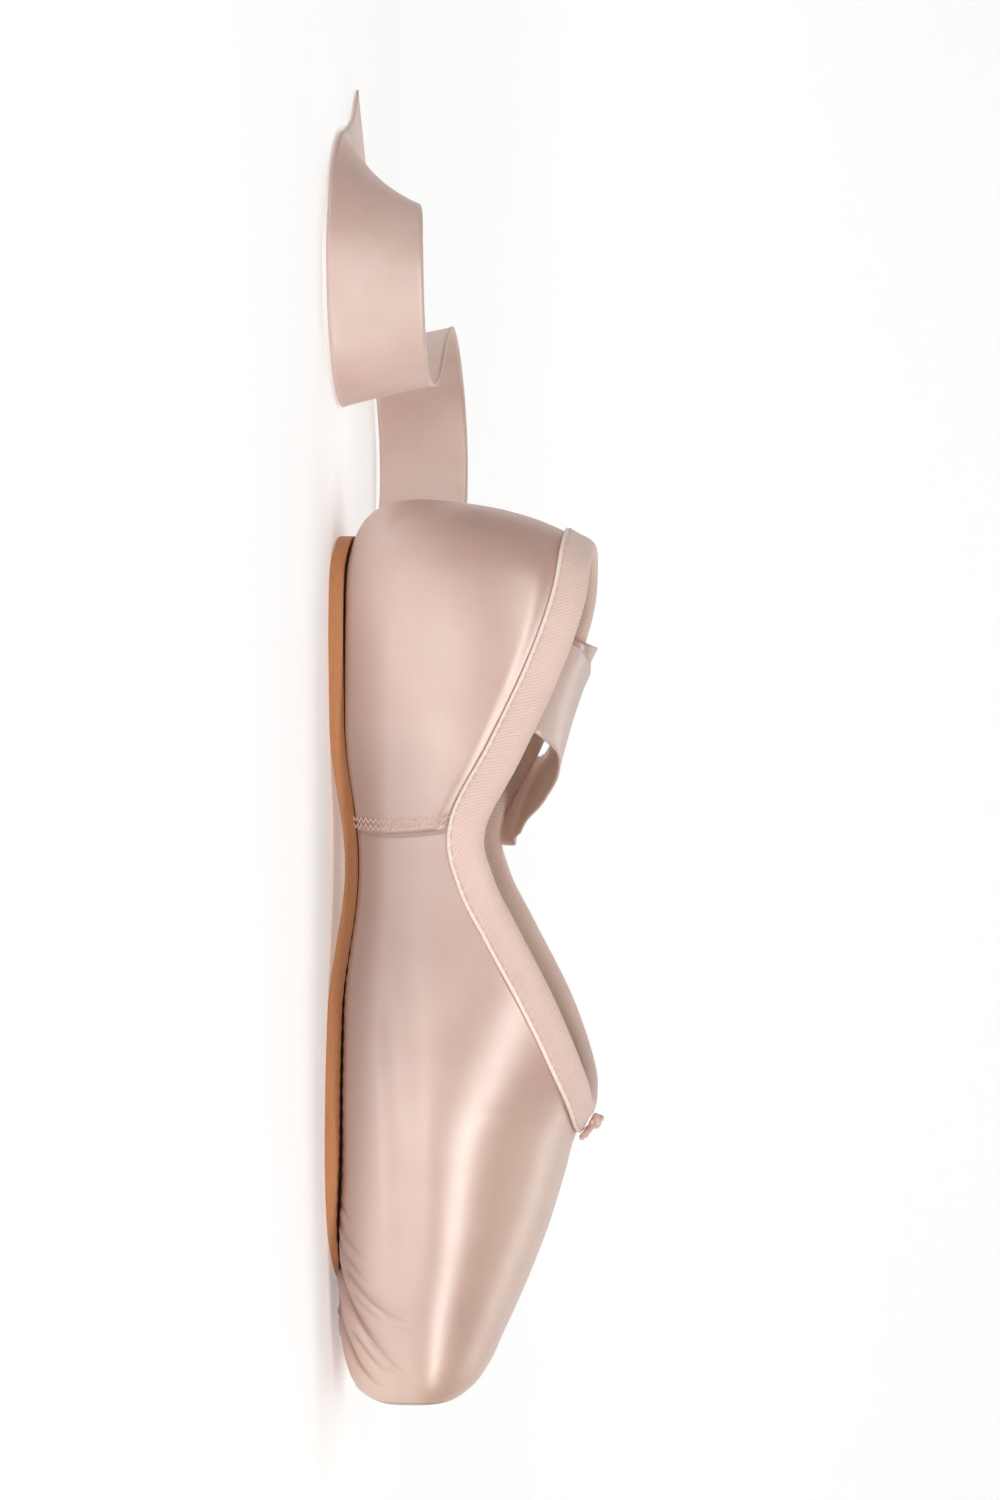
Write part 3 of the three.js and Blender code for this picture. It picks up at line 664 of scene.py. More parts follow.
def twill_material(name, base, deep, edge_highlight=0.0):
    """Ribbed cotton twill tape: matt, with fine diagonal ribs, and a painted highlight along its turned
    lower edge."""
    material, tree = new_material(name)
    uv = add(tree, "ShaderNodeUVMap", uv_map="UVMap")
    # Ribs at 52 degrees to the edge. The texture's bands are about a third of a unit apart.
    turned = add(
        tree,
        "ShaderNodeMapping",
        {"Vector": uv.outputs["UV"], "Rotation": (0, 0, math.radians(-38))},
    )
    ribs = add(
        tree,
        "ShaderNodeTexWave",
        {
            "Vector": turned.outputs["Vector"],
            "Scale": 1000 / RIB_PITCH / math.pi,
            "Distortion": 0.6,
            "Detail": 1.0,
            "Detail Scale": 2.0,
        },
        wave_type="BANDS",
        bands_direction="X",
    )
    place = add(tree, "ShaderNodeTexCoord")
    fuzz = add(
        tree,
        "ShaderNodeTexNoise",
        {"Vector": place.outputs["Object"], "Scale": 900.0, "Detail": 2.0},
    )
    clouds = add(
        tree,
        "ShaderNodeTexNoise",
        {"Vector": place.outputs["Object"], "Scale": 60.0, "Detail": 2.0},
    )
    tone = add(
        tree,
        "ShaderNodeValToRGB",
        {"Fac": clouds.outputs["Fac"]},
        stops=[(0.35, linear(deep)), (0.65, linear(base))],
    )
    ribbed = add(
        tree,
        "ShaderNodeMix",
        {0: 0.17, 6: tone.outputs["Color"], 7: ribs.outputs["Color"]},
        data_type="RGBA",
        blend_type="SOFT_LIGHT",
    )
    # A painted highlight lies along the turned edge, 0.8 mm wide, at the start of the tape's width.
    across = add(tree, "ShaderNodeSeparateXYZ", {"Vector": uv.outputs["UV"]})
    near_edge = add(
        tree,
        "ShaderNodeMapRange",
        {
            "Value": across.outputs["Y"],
            "From Min": 0.0006,
            "From Max": 0.001,
            "To Min": edge_highlight,
            "To Max": 0.0,
        },
    )
    highlighted_tape = add(
        tree,
        "ShaderNodeMix",
        {0: near_edge.outputs["Result"], 6: ribbed.outputs[2], 7: linear("FFF3EC")},
        data_type="RGBA",
    )
    relief = add(
        tree,
        "ShaderNodeBump",
        {"Height": ribs.outputs["Fac"], "Strength": 0.4, "Distance": 0.00022},
    )
    nap = add(
        tree,
        "ShaderNodeBump",
        {
            "Height": fuzz.outputs["Fac"],
            "Strength": 0.25,
            "Distance": 0.0002,
            "Normal": relief.outputs["Normal"],
        },
    )
    shader = add(
        tree,
        "ShaderNodeBsdfPrincipled",
        {
            "Base Color": highlighted_tape.outputs[2],
            "Roughness": 0.62,
            "Normal": nap.outputs["Normal"],
            "IOR": 1.47,
            "Sheen Weight": 0.25,
            "Sheen Roughness": 0.5,
            "Sheen Tint": linear("FFF0EA"),
        },
    )
    add(tree, "ShaderNodeOutputMaterial", {"Surface": shader.outputs["BSDF"]})
    return material


def cotton_material(name, base, deep, weave_mm, strength):
    """Plain-woven cotton: matt and slightly fuzzy, with a square weave."""
    material, tree = new_material(name)
    uv = add(tree, "ShaderNodeUVMap", uv_map="UVMap")
    # The threads, warp and weft, lie 0.63 of weave_mm apart, which is as fine as shows.
    grid = add(
        tree,
        "ShaderNodeMapping",
        {"Vector": uv.outputs["UV"], "Scale": (1000 / weave_mm, 1000 / weave_mm, 1)},
    )
    sockets = {"Vector": grid.outputs["Vector"], "Scale": 0.5, "Distortion": 0.5}
    warp, weft = (add(tree, "ShaderNodeTexWave", sockets, bands_direction=way) for way in "XY")
    threads = {0: warp.outputs["Fac"], 1: weft.outputs["Fac"]}
    woven = add(tree, "ShaderNodeMath", threads, operation="MULTIPLY")
    place = add(tree, "ShaderNodeTexCoord")
    clouds = add(
        tree,
        "ShaderNodeTexNoise",
        {"Vector": place.outputs["Object"], "Scale": 55.0, "Detail": 4.0, "Roughness": 0.6},
    )
    tone = add(
        tree,
        "ShaderNodeValToRGB",
        {"Fac": clouds.outputs["Fac"]},
        stops=[(0.3, linear(deep)), (0.65, linear(base))],
    )
    relief = add(
        tree,
        "ShaderNodeBump",
        {"Height": woven.outputs["Value"], "Strength": strength, "Distance": 0.0002},
    )
    shader = add(
        tree,
        "ShaderNodeBsdfPrincipled",
        {
            "Base Color": tone.outputs["Color"],
            "Roughness": 0.86,
            "Normal": relief.outputs["Normal"],
            "Sheen Weight": 0.15,
        },
    )
    add(tree, "ShaderNodeOutputMaterial", {"Surface": shader.outputs["BSDF"]})
    return material


def leather_material(name, base, deep, edge):
    """Vegetable-tanned sole leather: warm tan with a short nap, light rubbing and a burnished brown
    edge."""
    material, tree = new_material(name)
    place = add(tree, "ShaderNodeTexCoord")
    # Pores and fibres of about 0.7 mm, and rubbed patches of about 15 mm.
    grain = add(
        tree,
        "ShaderNodeTexNoise",
        {"Vector": place.outputs["Object"], "Scale": 1500.0, "Detail": 4.0, "Roughness": 0.7},
    )
    layers = add(
        tree,
        "ShaderNodeMapping",
        {"Vector": place.outputs["Object"], "Scale": (120, 120, 2600)},
    )
    fibres = add(
        tree,
        "ShaderNodeTexNoise",
        {"Vector": layers.outputs["Vector"], "Scale": 1.0, "Detail": 2.0},
    )
    rubbed = add(
        tree,
        "ShaderNodeTexNoise",
        {"Vector": place.outputs["Object"], "Scale": 65.0, "Detail": 5.0, "Roughness": 0.65},
    )
    tone = add(
        tree,
        "ShaderNodeValToRGB",
        {"Fac": rubbed.outputs["Fac"]},
        stops=[(0.32, linear(deep)), (0.64, linear(base))],
    )
    side = add(tree, "ShaderNodeAttribute", attribute_name="shade", attribute_type="GEOMETRY")
    edged = add(
        tree,
        "ShaderNodeMix",
        {0: side.outputs["Fac"], 6: tone.outputs["Color"], 7: linear(edge)},
        data_type="RGBA",
    )
    fibred = add(
        tree,
        "ShaderNodeMix",
        {0: 0.22, 6: edged.outputs[2], 7: fibres.outputs["Color"]},
        data_type="RGBA",
        blend_type="SOFT_LIGHT",
    )
    relief = add(
        tree,
        "ShaderNodeBump",
        {"Height": grain.outputs["Fac"], "Strength": 0.35, "Distance": 0.0003},
    )
    strata = add(
        tree,
        "ShaderNodeBump",
        {
            "Height": fibres.outputs["Fac"],
            "Strength": 0.3,
            "Distance": 0.0003,
            "Normal": relief.outputs["Normal"],
        },
    )
    shader = add(
        tree,
        "ShaderNodeBsdfPrincipled",
        {
            "Base Color": fibred.outputs[2],
            "Roughness": 0.58,
            "Normal": strata.outputs["Normal"],
            "IOR": 1.5,
        },
    )
    add(tree, "ShaderNodeOutputMaterial", {"Surface": shader.outputs["BSDF"]})
    return material


def thread_material(name, base):
    """Mercerised sewing thread: a slightly shiny twisted yarn."""
    material, tree = new_material(name)
    place = add(tree, "ShaderNodeTexCoord")
    # The twist shows about every 0.4 mm.
    twist = add(
        tree,
        "ShaderNodeTexNoise",
        {"Vector": place.outputs["Object"], "Scale": 2500.0, "Detail": 1.0},
    )
    tone = add(
        tree,
        "ShaderNodeMix",
        {0: 0.25, 6: linear(base), 7: twist.outputs["Color"]},
        data_type="RGBA",
        blend_type="SOFT_LIGHT",
    )
    relief = add(
        tree,
        "ShaderNodeBump",
        {"Height": twist.outputs["Fac"], "Strength": 0.3, "Distance": 0.0001},
    )
    shader = add(
        tree,
        "ShaderNodeBsdfPrincipled",
        {"Base Color": tone.outputs[2], "Roughness": 0.5, "Normal": relief.outputs["Normal"]},
    )
    add(tree, "ShaderNodeOutputMaterial", {"Surface": shader.outputs["BSDF"]})
    return material


# User sizes and colours
class ShoeFinish(bpy.types.PropertyGroup):
    satin: bpy.props.StringProperty(
        name="Satin", description="Colour of the satin, as sRGB hex", default="D5B2A4"
    )
    satin_deep: bpy.props.StringProperty(
        name="Satin, deep", description="Colour of its darker patches, as sRGB hex", default="CDA899"
    )
    casing: bpy.props.StringProperty(
        name="Casing", description="Colour of the casing tape, as sRGB hex", default="EFD4C9"
    )
    ribbon: bpy.props.StringProperty(
        name="Ribbon", description="Colour of the ribbons, as sRGB hex", default="F7E3D9"
    )
    leather: bpy.props.StringProperty(
        name="Leather", description="Colour of the sole leather, as sRGB hex", default="CB9468"
    )
    leather_edge: bpy.props.StringProperty(
        name="Leather edge", description="Colour of the sole's edge, as sRGB hex", default="C08456"
    )
    lining: bpy.props.StringProperty(
        name="Lining", description="Colour of the cotton lining, as sRGB hex", default="E9DCCB"
    )
    thread: bpy.props.StringProperty(
        name="Thread", description="Colour of the stitches, as sRGB hex", default="E6C8BB"
    )
    pleat_depth: bpy.props.FloatProperty(
        name="Pleat depth", description="Depth of the pleats at the toe", default=PLEAT_DEPTH, unit="LENGTH"
    )
    stitch: bpy.props.FloatProperty(
        name="Stitch length", description="Length of the casing's stitches", default=0.0021, unit="LENGTH"
    )


def finish_of(context):
    return context.scene.shoe_finish


# Stage
class SHOE_OT_stage(bpy.types.Operator):
    """Pale floor that sweeps up behind, soft studio lights and the camera"""

    bl_idname = "shoe.stage"
    bl_label = "Stage"

    def execute(self, context):
        across = np.linspace(-4000, 4000, 9)
        bend = np.linspace(0, math.pi / 2, 25)
        profile = [(-3500, 0), (0, 0), (2200, 0)]
        profile += [(2600 + 900 * math.sin(a), 900 - 900 * math.cos(a)) for a in bend]
        profile += [(3500, 4500)]
        places = np.array([[(x, y, z) for x in across] for y, z in profile])
        floor = laid_grid("studio_floor", places, places[:, 0, 1], across)
        material, tree = new_material("painted_paper")
        place = add(tree, "ShaderNodeTexCoord")
        # Seamless paper has a faint tooth of about 1 mm.
        tooth = add(tree, "ShaderNodeTexNoise", {"Vector": place.outputs["Object"], "Scale": 900.0})
        relief = add(
            tree,
            "ShaderNodeBump",
            {"Height": tooth.outputs["Fac"], "Strength": 0.04, "Distance": 0.0005},
        )
        shader = add(
            tree,
            "ShaderNodeBsdfPrincipled",
            {
                "Base Color": linear("FAFAFA"),
                "Roughness": 0.9,
                "Normal": relief.outputs["Normal"],
                "Emission Color": linear("FFFFFF"),
                "Emission Strength": 0.27,
            },
        )
        add(tree, "ShaderNodeOutputMaterial", {"Surface": shader.outputs["BSDF"]})
        floor.data.materials.append(material)

        lamps = [
            # name, place and aim in metres, length and breadth, watts, colour
            ("key_strip", (0.35, -0.95, 0.58), (0.05, 0.0, 0.03), (2.2, 0.11), 9.0, "FFFBF6"),
            ("front_strip", (0.05, -1.30, 0.02), (0.0, 0.0, 0.03), (1.4, 0.05), 2.4, "FFF8F3"),
            ("top", (0.0, 0.10, 1.8), (0.0, 0.10, 0.0), (2.2, 1.6), 4.4, "FFFFFF"),
            ("backdrop", (0.0, 1.5, 2.6), (0.0, 2.5, 0.2), (5.0, 2.0), 52.0, "FFFFFF"),
        ]
        for name, place, aim, (long, broad), watts, colour in lamps:
            deselect_all()
            bpy.ops.object.light_add(type="AREA", location=place)
            lamp = context.object
            lamp.name = "light_" + name
            lamp.data.shape = "RECTANGLE"
            lamp.data.size = long
            lamp.data.size_y = broad
            lamp.data.energy = watts
            lamp.data.color = linear(colour)[:3]
            # The lamp's local X, its long side, stays along the shoe.
            back = (Vector(place) - Vector(aim)).normalized()
            side = Vector((1, 0, 0))
            side = (side - back * side.dot(back)).normalized()
            turn = Matrix((side, back.cross(side), back)).transposed()
            lamp.rotation_mode = "QUATERNION"
            lamp.rotation_quaternion = turn.to_quaternion()

        world = context.scene.world or bpy.data.worlds.new("studio")
        context.scene.world = world
        world.use_nodes = True
        sky = world.node_tree.nodes["Background"]
        sky.inputs["Color"].default_value = linear("FBFBFC")
        sky.inputs["Strength"].default_value = 0.10
        context.scene.view_settings.view_transform = "Standard"

        # The camera looks at the shoe's side from 5 degrees above the floor, rolled to put the toe down.
        deselect_all()
        bpy.ops.object.camera_add()
        camera = context.object
        camera.name = "camera"
        camera.data.lens = 105
        camera.data.sensor_width = 36
        rise = math.radians(5.0)
        distance = 1.15
        centre = Vector((-0.052, 0.0, 0.043))
        right = Vector((0, math.sin(rise), math.cos(rise)))
        up = Vector((-1, 0, 0))
        back = Vector((0, -math.cos(rise), math.sin(rise)))
        turn = Matrix((right, up, back)).transposed()
        camera.rotation_mode = "QUATERNION"
        camera.rotation_quaternion = turn.to_quaternion()
        camera.location = centre + back * distance
        camera.data.clip_start, camera.data.clip_end = 0.02, 30
        context.scene.camera = camera
        return {"FINISHED"}


# Ribbons
def ribbon_frame(route, steps):
    """A ribbon's middle line, the ways across and up from it, and how far along it each point is."""
    table = np.array(route, float)
    u = np.linspace(0, len(route) - 1, steps)
    middle = np.stack([through(table[:, k], u) for k in range(3)], 1)
    ahead = np.stack([through(table[:, k], np.minimum(u + 0.05, len(route) - 1)) for k in range(3)], 1)
    behind = np.stack([through(table[:, k], np.maximum(u - 0.05, 0)) for k in range(3)], 1)
    way = unit(ahead - behind)
    turn, lean = (np.radians(through(table[:, k], u)) for k in (3, 4))
    across = np.stack([np.cos(lean) * np.cos(turn), np.cos(lean) * np.sin(turn), np.sin(lean)], 1)
    across = unit(across - way * (across * way).sum(1)[:, None])
    up = np.cross(way, across)
    return middle, across, up, run_along(middle)


def ribbon(name, node, route, material, seed):
    """One ribbon with its selvedges and ripples, the path of its middle line and its length, in metres."""
    steps, wide = 420, 20
    middle, across, up, run = ribbon_frame(route, steps)
    share = np.linspace(-1, 1, wide + 1)
    half = RIBBON_WIDTH / 2
    edge = np.exp(-(((1 - np.abs(share)) * half / SELVEDGE_WIDTH) ** 2))
    thick = RIBBON_CLOTH / 2 + SELVEDGE * edge
    top = np.stack([share * half, thick], 1)
    under = np.stack([share * half, -thick], 1)[::-1]
    section = np.concatenate([top, under, top[:1]])
    # Long soft ripples, still near the sewn end and the floor.
    phase = seed * 1.7
    free = smooth(60, 120, run) * smooth(0, 40, run[-1] - run)
    cup = RIBBON_CUP * np.sin(run / 31 + phase) * free
    ripple = RIBBON_RIPPLE * np.sin(run / 9.5 + phase * 2) * free
    offset = section[None, :, 1] + cup[:, None] * (section[None, :, 0] / half) ** 2
    offset = offset + ripple[:, None] * np.sin(section[None, :, 0] / half * 1.9 + run[:, None] / 23)
    places = (
        middle[:, None]
        + across[:, None] * section[None, :, :1]
        + up[:, None] * offset[..., None]
    )
    obj = laid_grid(name, places, run, run_along(section))
    seal(obj)
    settle(obj, material, "ribbon_satin", node)
    path = np.concatenate([middle[::3], middle[-1:]]) / 1000
    return obj, path, run[-1] / 1000


class SHOE_OT_ribbons(bpy.types.Operator):
    """The two satin ribbons, from their sewn ends inside the quarters to their cut ends on the floor"""

    bl_idname = "shoe.ribbons"
    bl_label = "Ribbons"

    def execute(self, context):
        colour = finish_of(context).ribbon
        material = satin_material(
            "ribbon_satin_weave", colour, "EFD6CB", 0.36, 0.10, RIBBON_THREAD, glow=0.3
        )
        for node, route, seed in (("ribbon_far", FAR_RIBBON, 1), ("ribbon_near", NEAR_RIBBON, 2)):
            obj, path, length = ribbon(node + "_satin", node, route, material, seed)
        return {"FINISHED"}


# Upper
def side_point(s, z, side):
    """The point on the last at a distance s from the heel and a height z, on side -1 or 1."""
    s, z = np.asarray(s, float), np.asarray(z, float)
    c = section_at(s)
    z = np.clip(z, c["floor"] + 0.01, c["crown"] - 0.01)
    over = (np.maximum(z - c["belt"], 0) / (c["crown"] - c["belt"])) ** c["over"]
    under = (np.maximum(c["belt"] - z, 0) / (c["belt"] - c["floor"])) ** c["under"]
    power = np.where(z > c["belt"], c["over"], c["under"])
    y = c["half"] * np.maximum(1 - over - under, 0) ** (1 / power)
    return np.stack([s - LENGTH / 2, side * y, z], -1)


def under_point(s, y):
    """The point on the last's underside at a distance s from the heel and y from its middle."""
    s, y = np.asarray(s, float), np.asarray(y, float)
    c = section_at(s)
    fill = np.clip(np.abs(y) / c["half"], 0, 1) ** c["under"]
    z = c["belt"] - (c["belt"] - c["floor"]) * (1 - fill) ** (1 / c["under"])
    return np.stack([s - LENGTH / 2, y, z], -1)


# The folds of the satin. Each runs through its points, given as distance from the heel and
# height. width and depth are the trough's, lift is that of the ridge beside it, all in millimetres.
FOLDS = [
    # the main pleat, from the sole's tip in a curve up the side of the box
    ([(199.5, 2.2), (202.6, 3.4), (209.2, 6.2), (217, 11.3), (224.7, 18.5), (228.4, 23.5)], 1.8, 1.15, 0.8),
    # the one nearer the edge of the platform
    ([(203.0, 1.4), (207.4, 1.9), (217.5, 4.2), (225.3, 8.3), (229.2, 12.5), (231.4, 17)], 1.5, 0.95, 0.7),
    # shorter ones above and between
    ([(199.8, 5.4), (202.7, 7.7), (208.0, 13.0), (212.2, 19.6), (214.0, 24)], 1.5, 0.6, 0.42),
    ([(215.6, 7.2), (220.0, 10.1), (224.7, 14.3), (226.8, 20.2)], 1.2, 0.5, 0.35),
    ([(205.6, 7.6), (209.6, 11.8), (213.6, 17.0)], 1.1, 0.3, 0.2),
    ([(188.6, 3.6), (191.6, 6.0), (194.6, 9.0), (196.8, 12.2)], 1.4, 0.4, 0.28),
    ([(193.4, 3.2), (197.2, 6.4), (200.6, 9.6), (203.4, 13.4)], 1.4, 0.42, 0.3),
    ([(182.6, 3.9), (185.6, 6.2), (188.6, 9.4)], 1.2, 0.26, 0.2),
    ([(224.0, 2.2), (228.4, 3.6), (231.8, 6.2), (233.4, 9.6)], 1.1, 0.6, 0.4),
]
# Pleats under the box, from the sole's tip to near the platform: distances from the heel and the middle.
UNDER_FOLDS = [
    [(203.5, 3.0), (212, 4.2), (220, 5.4), (227, 6.2)],
    [(202.5, 6.5), (211, 9.2), (219, 11.4), (226, 12.6)],
    [(201, 9.5), (209, 13.6), (216, 16.4), (223, 17.6)],
    [(204.2, 0.4), (213, 0.6), (221, 0.3), (228, 0.2)],
]


# The painted shade on the lower side: distance from the heel, how high it reaches, and how strong it is.
SHADED_TO = [
    (0, 15, 0.45),
    (30, 17, 0.6),
    (60, 28, 0.75),
    (75, 44, 0.85),
    (95, 50, 0.92),
    (115, 46, 0.92),
    (140, 30, 0.9),
    (170, 21, 0.9),
    (200, 16, 0.85),
    (212, 14, 0.5),
    (236, 12, 0.4),
]


def fold_shift(points, normals, line, width, depth, lift, side):
    """How far one fold moves each point along its normal, and how much painted shade its crease gets
    there. The ridge lies on the side towards the platform."""
    steps = 28
    u = np.linspace(0, len(line) - 1, steps)
    line = np.stack([through(line[:, k], u) for k in range(3)], 1)
    low, high = line.min(0) - 5 * width, line.max(0) + 5 * width
    near = np.all((points > low) & (points < high), axis=1)
    shift = np.zeros(len(points))
    if not near.any():
        return shift, shift
    p, n = points[near], normals[near]
    a, b = line[:-1], line[1:]
    way = b - a
    t = ((p[:, None] - a) * way).sum(2) / (way**2).sum(1)
    t = np.clip(t, 0, 1)
    nearest = a + way * t[..., None]
    gap = p[:, None] - nearest
    far = np.linalg.norm(gap, axis=2)
    pick = far.argmin(1)
    rows = np.arange(len(p))
    gap, far, t = gap[rows, pick], far[rows, pick], t[rows, pick]
    along = (pick + t) / (steps - 1)
    sign = np.sign((np.cross(way[pick], gap) * n).sum(1))
    d = far * sign * side
    taper = smooth(0, 0.1, along) * (1 - smooth(0.45, 1.0, along))
    trough = np.exp(-((d / np.where(d < 0, 1.15 * width, 0.42 * width)) ** 2))
    ridge = np.exp(-(((d - 0.85 * width) / np.where(d < 0.85 * width, 0.4 * width, 1.5 * width)) ** 2))
    shift[near] = taper * (lift * ridge - depth * trough)
    # Painted shade along the crease, and fainter in the hollow on its gentle side.
    dark = np.zeros(len(points))
    crease = np.exp(-((d / np.where(d < 0, 0.5 * width, 0.26 * width)) ** 2))
    hollow = np.exp(-((d / (1.5 * width)) ** 2)) * (d < 0)
    dark[near] = taper * np.maximum(crease, 0.3 * hollow) * min(1, 0.3 + 0.7 * depth)
    return shift, dark


def sole_edge_distance(points):
    """How far each point is outside the sole's outline, seen from below, in millimetres."""
    s = points[:, 0] + LENGTH / 2
    u = np.linspace(0, len(SOLE_AT) - 1, 1200)
    edge = np.stack([through(SOLE_AT, u), np.maximum(through(SOLE_HALF, u), 0.2)], 1)
    best = np.full(len(points), 1e9)
    y = np.abs(points[:, 1])
    for chunk in np.array_split(np.arange(len(points)), max(1, len(points) // 4000)):
        gap = np.hypot(s[chunk, None] - edge[:, 0], y[chunk, None] - edge[:, 1])
        best[chunk] = gap.min(1)
    half = np.interp(s, edge[:, 0], edge[:, 1], left=0, right=0)
    return np.where(y < half, -best, best), s


# The rings of the upper lie close at the heel, the side seam and the box: a distance from the heel, and
# how far apart they are there.
RING_STEPS = [
    (0, 0.35),
    (14, 0.8),
    (30, 1.25),
    (80, 1.3),
    (84.5, 0.42),
    (89.5, 0.42),
    (94, 1.3),
    (120, 1.3),
    (165, 0.95),
    (178, 0.62),
    (222, 0.55),
    (236, 0.34),
]


def upper_rows():
    """Distances of the upper's rings from the heel."""
    at, apart = zip(*RING_STEPS)
    s, rows = 0.0, []
    while s < LENGTH - 0.02:
        rows.append(s)
        s += float(np.interp(s, at, apart))
    return np.array(rows + [LENGTH - 0.004])


def upper_places(s_rows, columns):
    """The outer face of the last below the topline, as rows of points from collar to collar."""
    fine = np.linspace(0, 1, 241)
    places = np.empty((len(s_rows), columns, 3))
    for i, s in enumerate(s_rows):
        c = {k: float(v) for k, v in section_at(s).items()}
        angle = fine * math.pi / 2
        y_over = c["half"] * np.cos(angle) ** (2 / c["over"])
        z_over = c["belt"] + (c["crown"] - c["belt"]) * np.sin(angle) ** (2 / c["over"])
        y_under = c["half"] * np.cos(angle) ** (2 / c["under"])
        z_under = c["belt"] - (c["belt"] - c["floor"]) * np.sin(angle) ** (2 / c["under"])
        y = np.concatenate([np.maximum(y_over[::-1], 0), np.maximum(y_under[1:], 0)])
        z = np.concatenate([z_over[::-1], z_under[1:]])
        y[0] = y[-1] = 0
        height = float(topline_height(s))
        run = np.concatenate([[0], np.cumsum(np.hypot(np.diff(y), np.diff(z)))])
        start = 0.0
        if c["crown"] > height:
            start = float(np.interp(-height, -z, run))
        # Columns lie closer together where the pleats are.
        near = smooth(172, 196, s) * (1 - smooth(15, 26, z)) * smooth(0.25, 0.5, y / c["half"])
        dense = np.concatenate([[0], np.cumsum(np.diff(run) * (1 + 2.2 * near[1:]))])
        ends = np.interp([start, run[-1]], run, dense)
        wanted = np.interp(np.linspace(*ends, columns // 2 + 1), dense, run)
        x = np.full(len(wanted), s - LENGTH / 2)
        half = np.stack([x, np.interp(wanted, run, y), np.interp(wanted, run, z)], 1)
        other = half[:-1][::-1] * (1, -1, 1)
        places[i] = np.concatenate([half, other])
    return places


# The platform's flat face closes in rings from its rim to its middle, and the heel in one.
FACE_RINGS = (0.88, 0.72, 0.54, 0.36, 0.18, 0.002)
HEEL_RINGS = (0.004,)


def closing_rings(rim, shares):
    """Rings that narrow from a loft's last ring to its middle."""
    middle = (rim.min(axis=0) + rim.max(axis=0)) / 2
    return np.array([middle + (rim - middle) * share for share in shares])


def grid_normals(places):
    """The outward normal at each point of a loft."""
    down = np.gradient(places, axis=1)
    ahead = np.gradient(places, axis=0)
    normal = unit(np.cross(ahead, down))
    middle = places.mean(axis=1, keepdims=True)
    if ((places - middle) * normal).sum() < 0:
        normal = -normal
    return normal


def seam_at(z):
    """How far from the heel the side seam is at a height z. It sags towards the toe in its middle."""
    return SEAM_FROM_HEEL + SEAM_SAG * np.sin(np.clip(z / SEAM_TOP, 0, 1) * math.pi)


def tuck_at(s):
    """The small tucks where the satin is drawn under the sole: 1 in a tuck and 0 between two."""
    return 0.5 + 0.5 * np.cos(2 * math.pi * s / TUCK_PITCH + 0.8 * np.sin(s / 13))


def upper_relief(points, normals, pleat):
    """Seam step, pleats, tucks and slack of the satin: how far each point moves, and how much painted
    shade, painted brown shade in the joint and warm tan it has."""
    s = points[:, 0] + LENGTH / 2
    z, y = points[:, 2], points[:, 1]
    below = topline_height(s) - BINDING_WIDTH - z
    clear = smooth(0.5, 0.8, 2 * np.abs(y) / HEEL_WIDTH)
    seam = seam_at(z)
    behind = 1 - smooth(-SEAM_SLOPE / 2, SEAM_SLOPE / 2, s - seam)
    shift = SEAM_STEP * behind * smooth(0, BINDING_WIDTH / 2, below) * clear
    # The seam's groove goes in, and painted shade darkens it.
    groove = np.exp(-(((s - seam - 0.45) / 0.5) ** 2)) * smooth(-1, 1, below) * clear
    shift -= SEAM_GROOVE * groove
    shade = 0.95 * groove
    # Each fold moves the satin and adds painted shade along its crease; the folds under the box add less.
    for places, width, depth, lift in FOLDS:
        for side in (-1, 1):
            line = np.array([side_point(a, b, side) for a, b in places])
            size = pleat if side < 0 else pleat * 0.85
            moved, dark = fold_shift(points, normals, line, width, depth * size, lift * size, side)
            shift += moved
            shade += 0.95 * dark
    for places in UNDER_FOLDS:
        for side in (-1, 1):
            line = np.array([under_point(a, side * b) for a, b in places])
            moved, dark = fold_shift(points, normals, line, 0.9, 0.8 * pleat, 0.4 * pleat, side)
            shift += moved
            shade += 0.4 * dark
    away, _ = sole_edge_distance(points)
    low = 1 - smooth(4, 9, z - sole_seat(s))
    forward = smooth(95, 125, s) * (1 - smooth(200, 206, s)) * low
    tuck = tuck_at(s)
    close = np.exp(-np.maximum(away - 0.2, 0) / 1.5) * (away > -4)
    # The tucks go in, and painted shade darkens them.
    shift -= TUCK_DEPTH * tuck * close * forward
    shade += 0.35 * tuck * close * forward
    # Painted brown shade in the joint between the satin and the sole, scalloped by the tucks.
    scallop = 0.3 + 0.55 * tuck * forward
    joint = 0.8 * (1 - smooth(0.4 * scallop, 1.2 * scallop, np.maximum(away, 0))) * (away > -6) * low
    # A shallow groove down the middle of the back, with painted shade in it.
    back = np.exp(-((y / 0.55) ** 2)) * (1 - smooth(16, 24, s)) * smooth(6, 10, z)
    shift -= BACK_GROOVE * back
    shade += 0.35 * back
    # Slack of the quarters: long shallow swells.
    slack = np.sin(s / 13.0 + z / 9.0) * np.sin(z / 12.5 - s / 37.0)
    shift += SLACK * slack * (1 - smooth(120, 150, s)) * smooth(20, 40, s)
    # Under the satin the wing of the box ends in a shallow dip along its side.
    dip = np.exp(-(((z - mix(17, 22, smooth(110, 170, s))) / 5.0) ** 2))
    shift -= WING_DIP * dip * smooth(100, 135, s) * (1 - smooth(192, 214, s)) * (1 - low)
    # Painted shade: the side turns darker towards the floor, most at the waist, and a thin line of painted
    # shade rims the platform.
    at, high, strong = zip(*SHADED_TO)
    painted_low_shade = np.interp(s, at, strong) * (1 - smooth(0, 1, z / np.interp(s, at, high)))
    painted_low_shade = np.maximum(painted_low_shade, 0.85 * np.exp(-(((s - LENGTH + 0.75) / 0.42) ** 2)))
    shade = np.clip(shade, 0, 1)
    shade += (1 - shade) * painted_low_shade
    # The crown and the end of the box are a warmer tan.
    warm = np.maximum(smooth(32, 47, z) * smooth(140, 180, s), smooth(208, 230, s))
    return shift, shade, np.clip(joint, 0, 1), warm


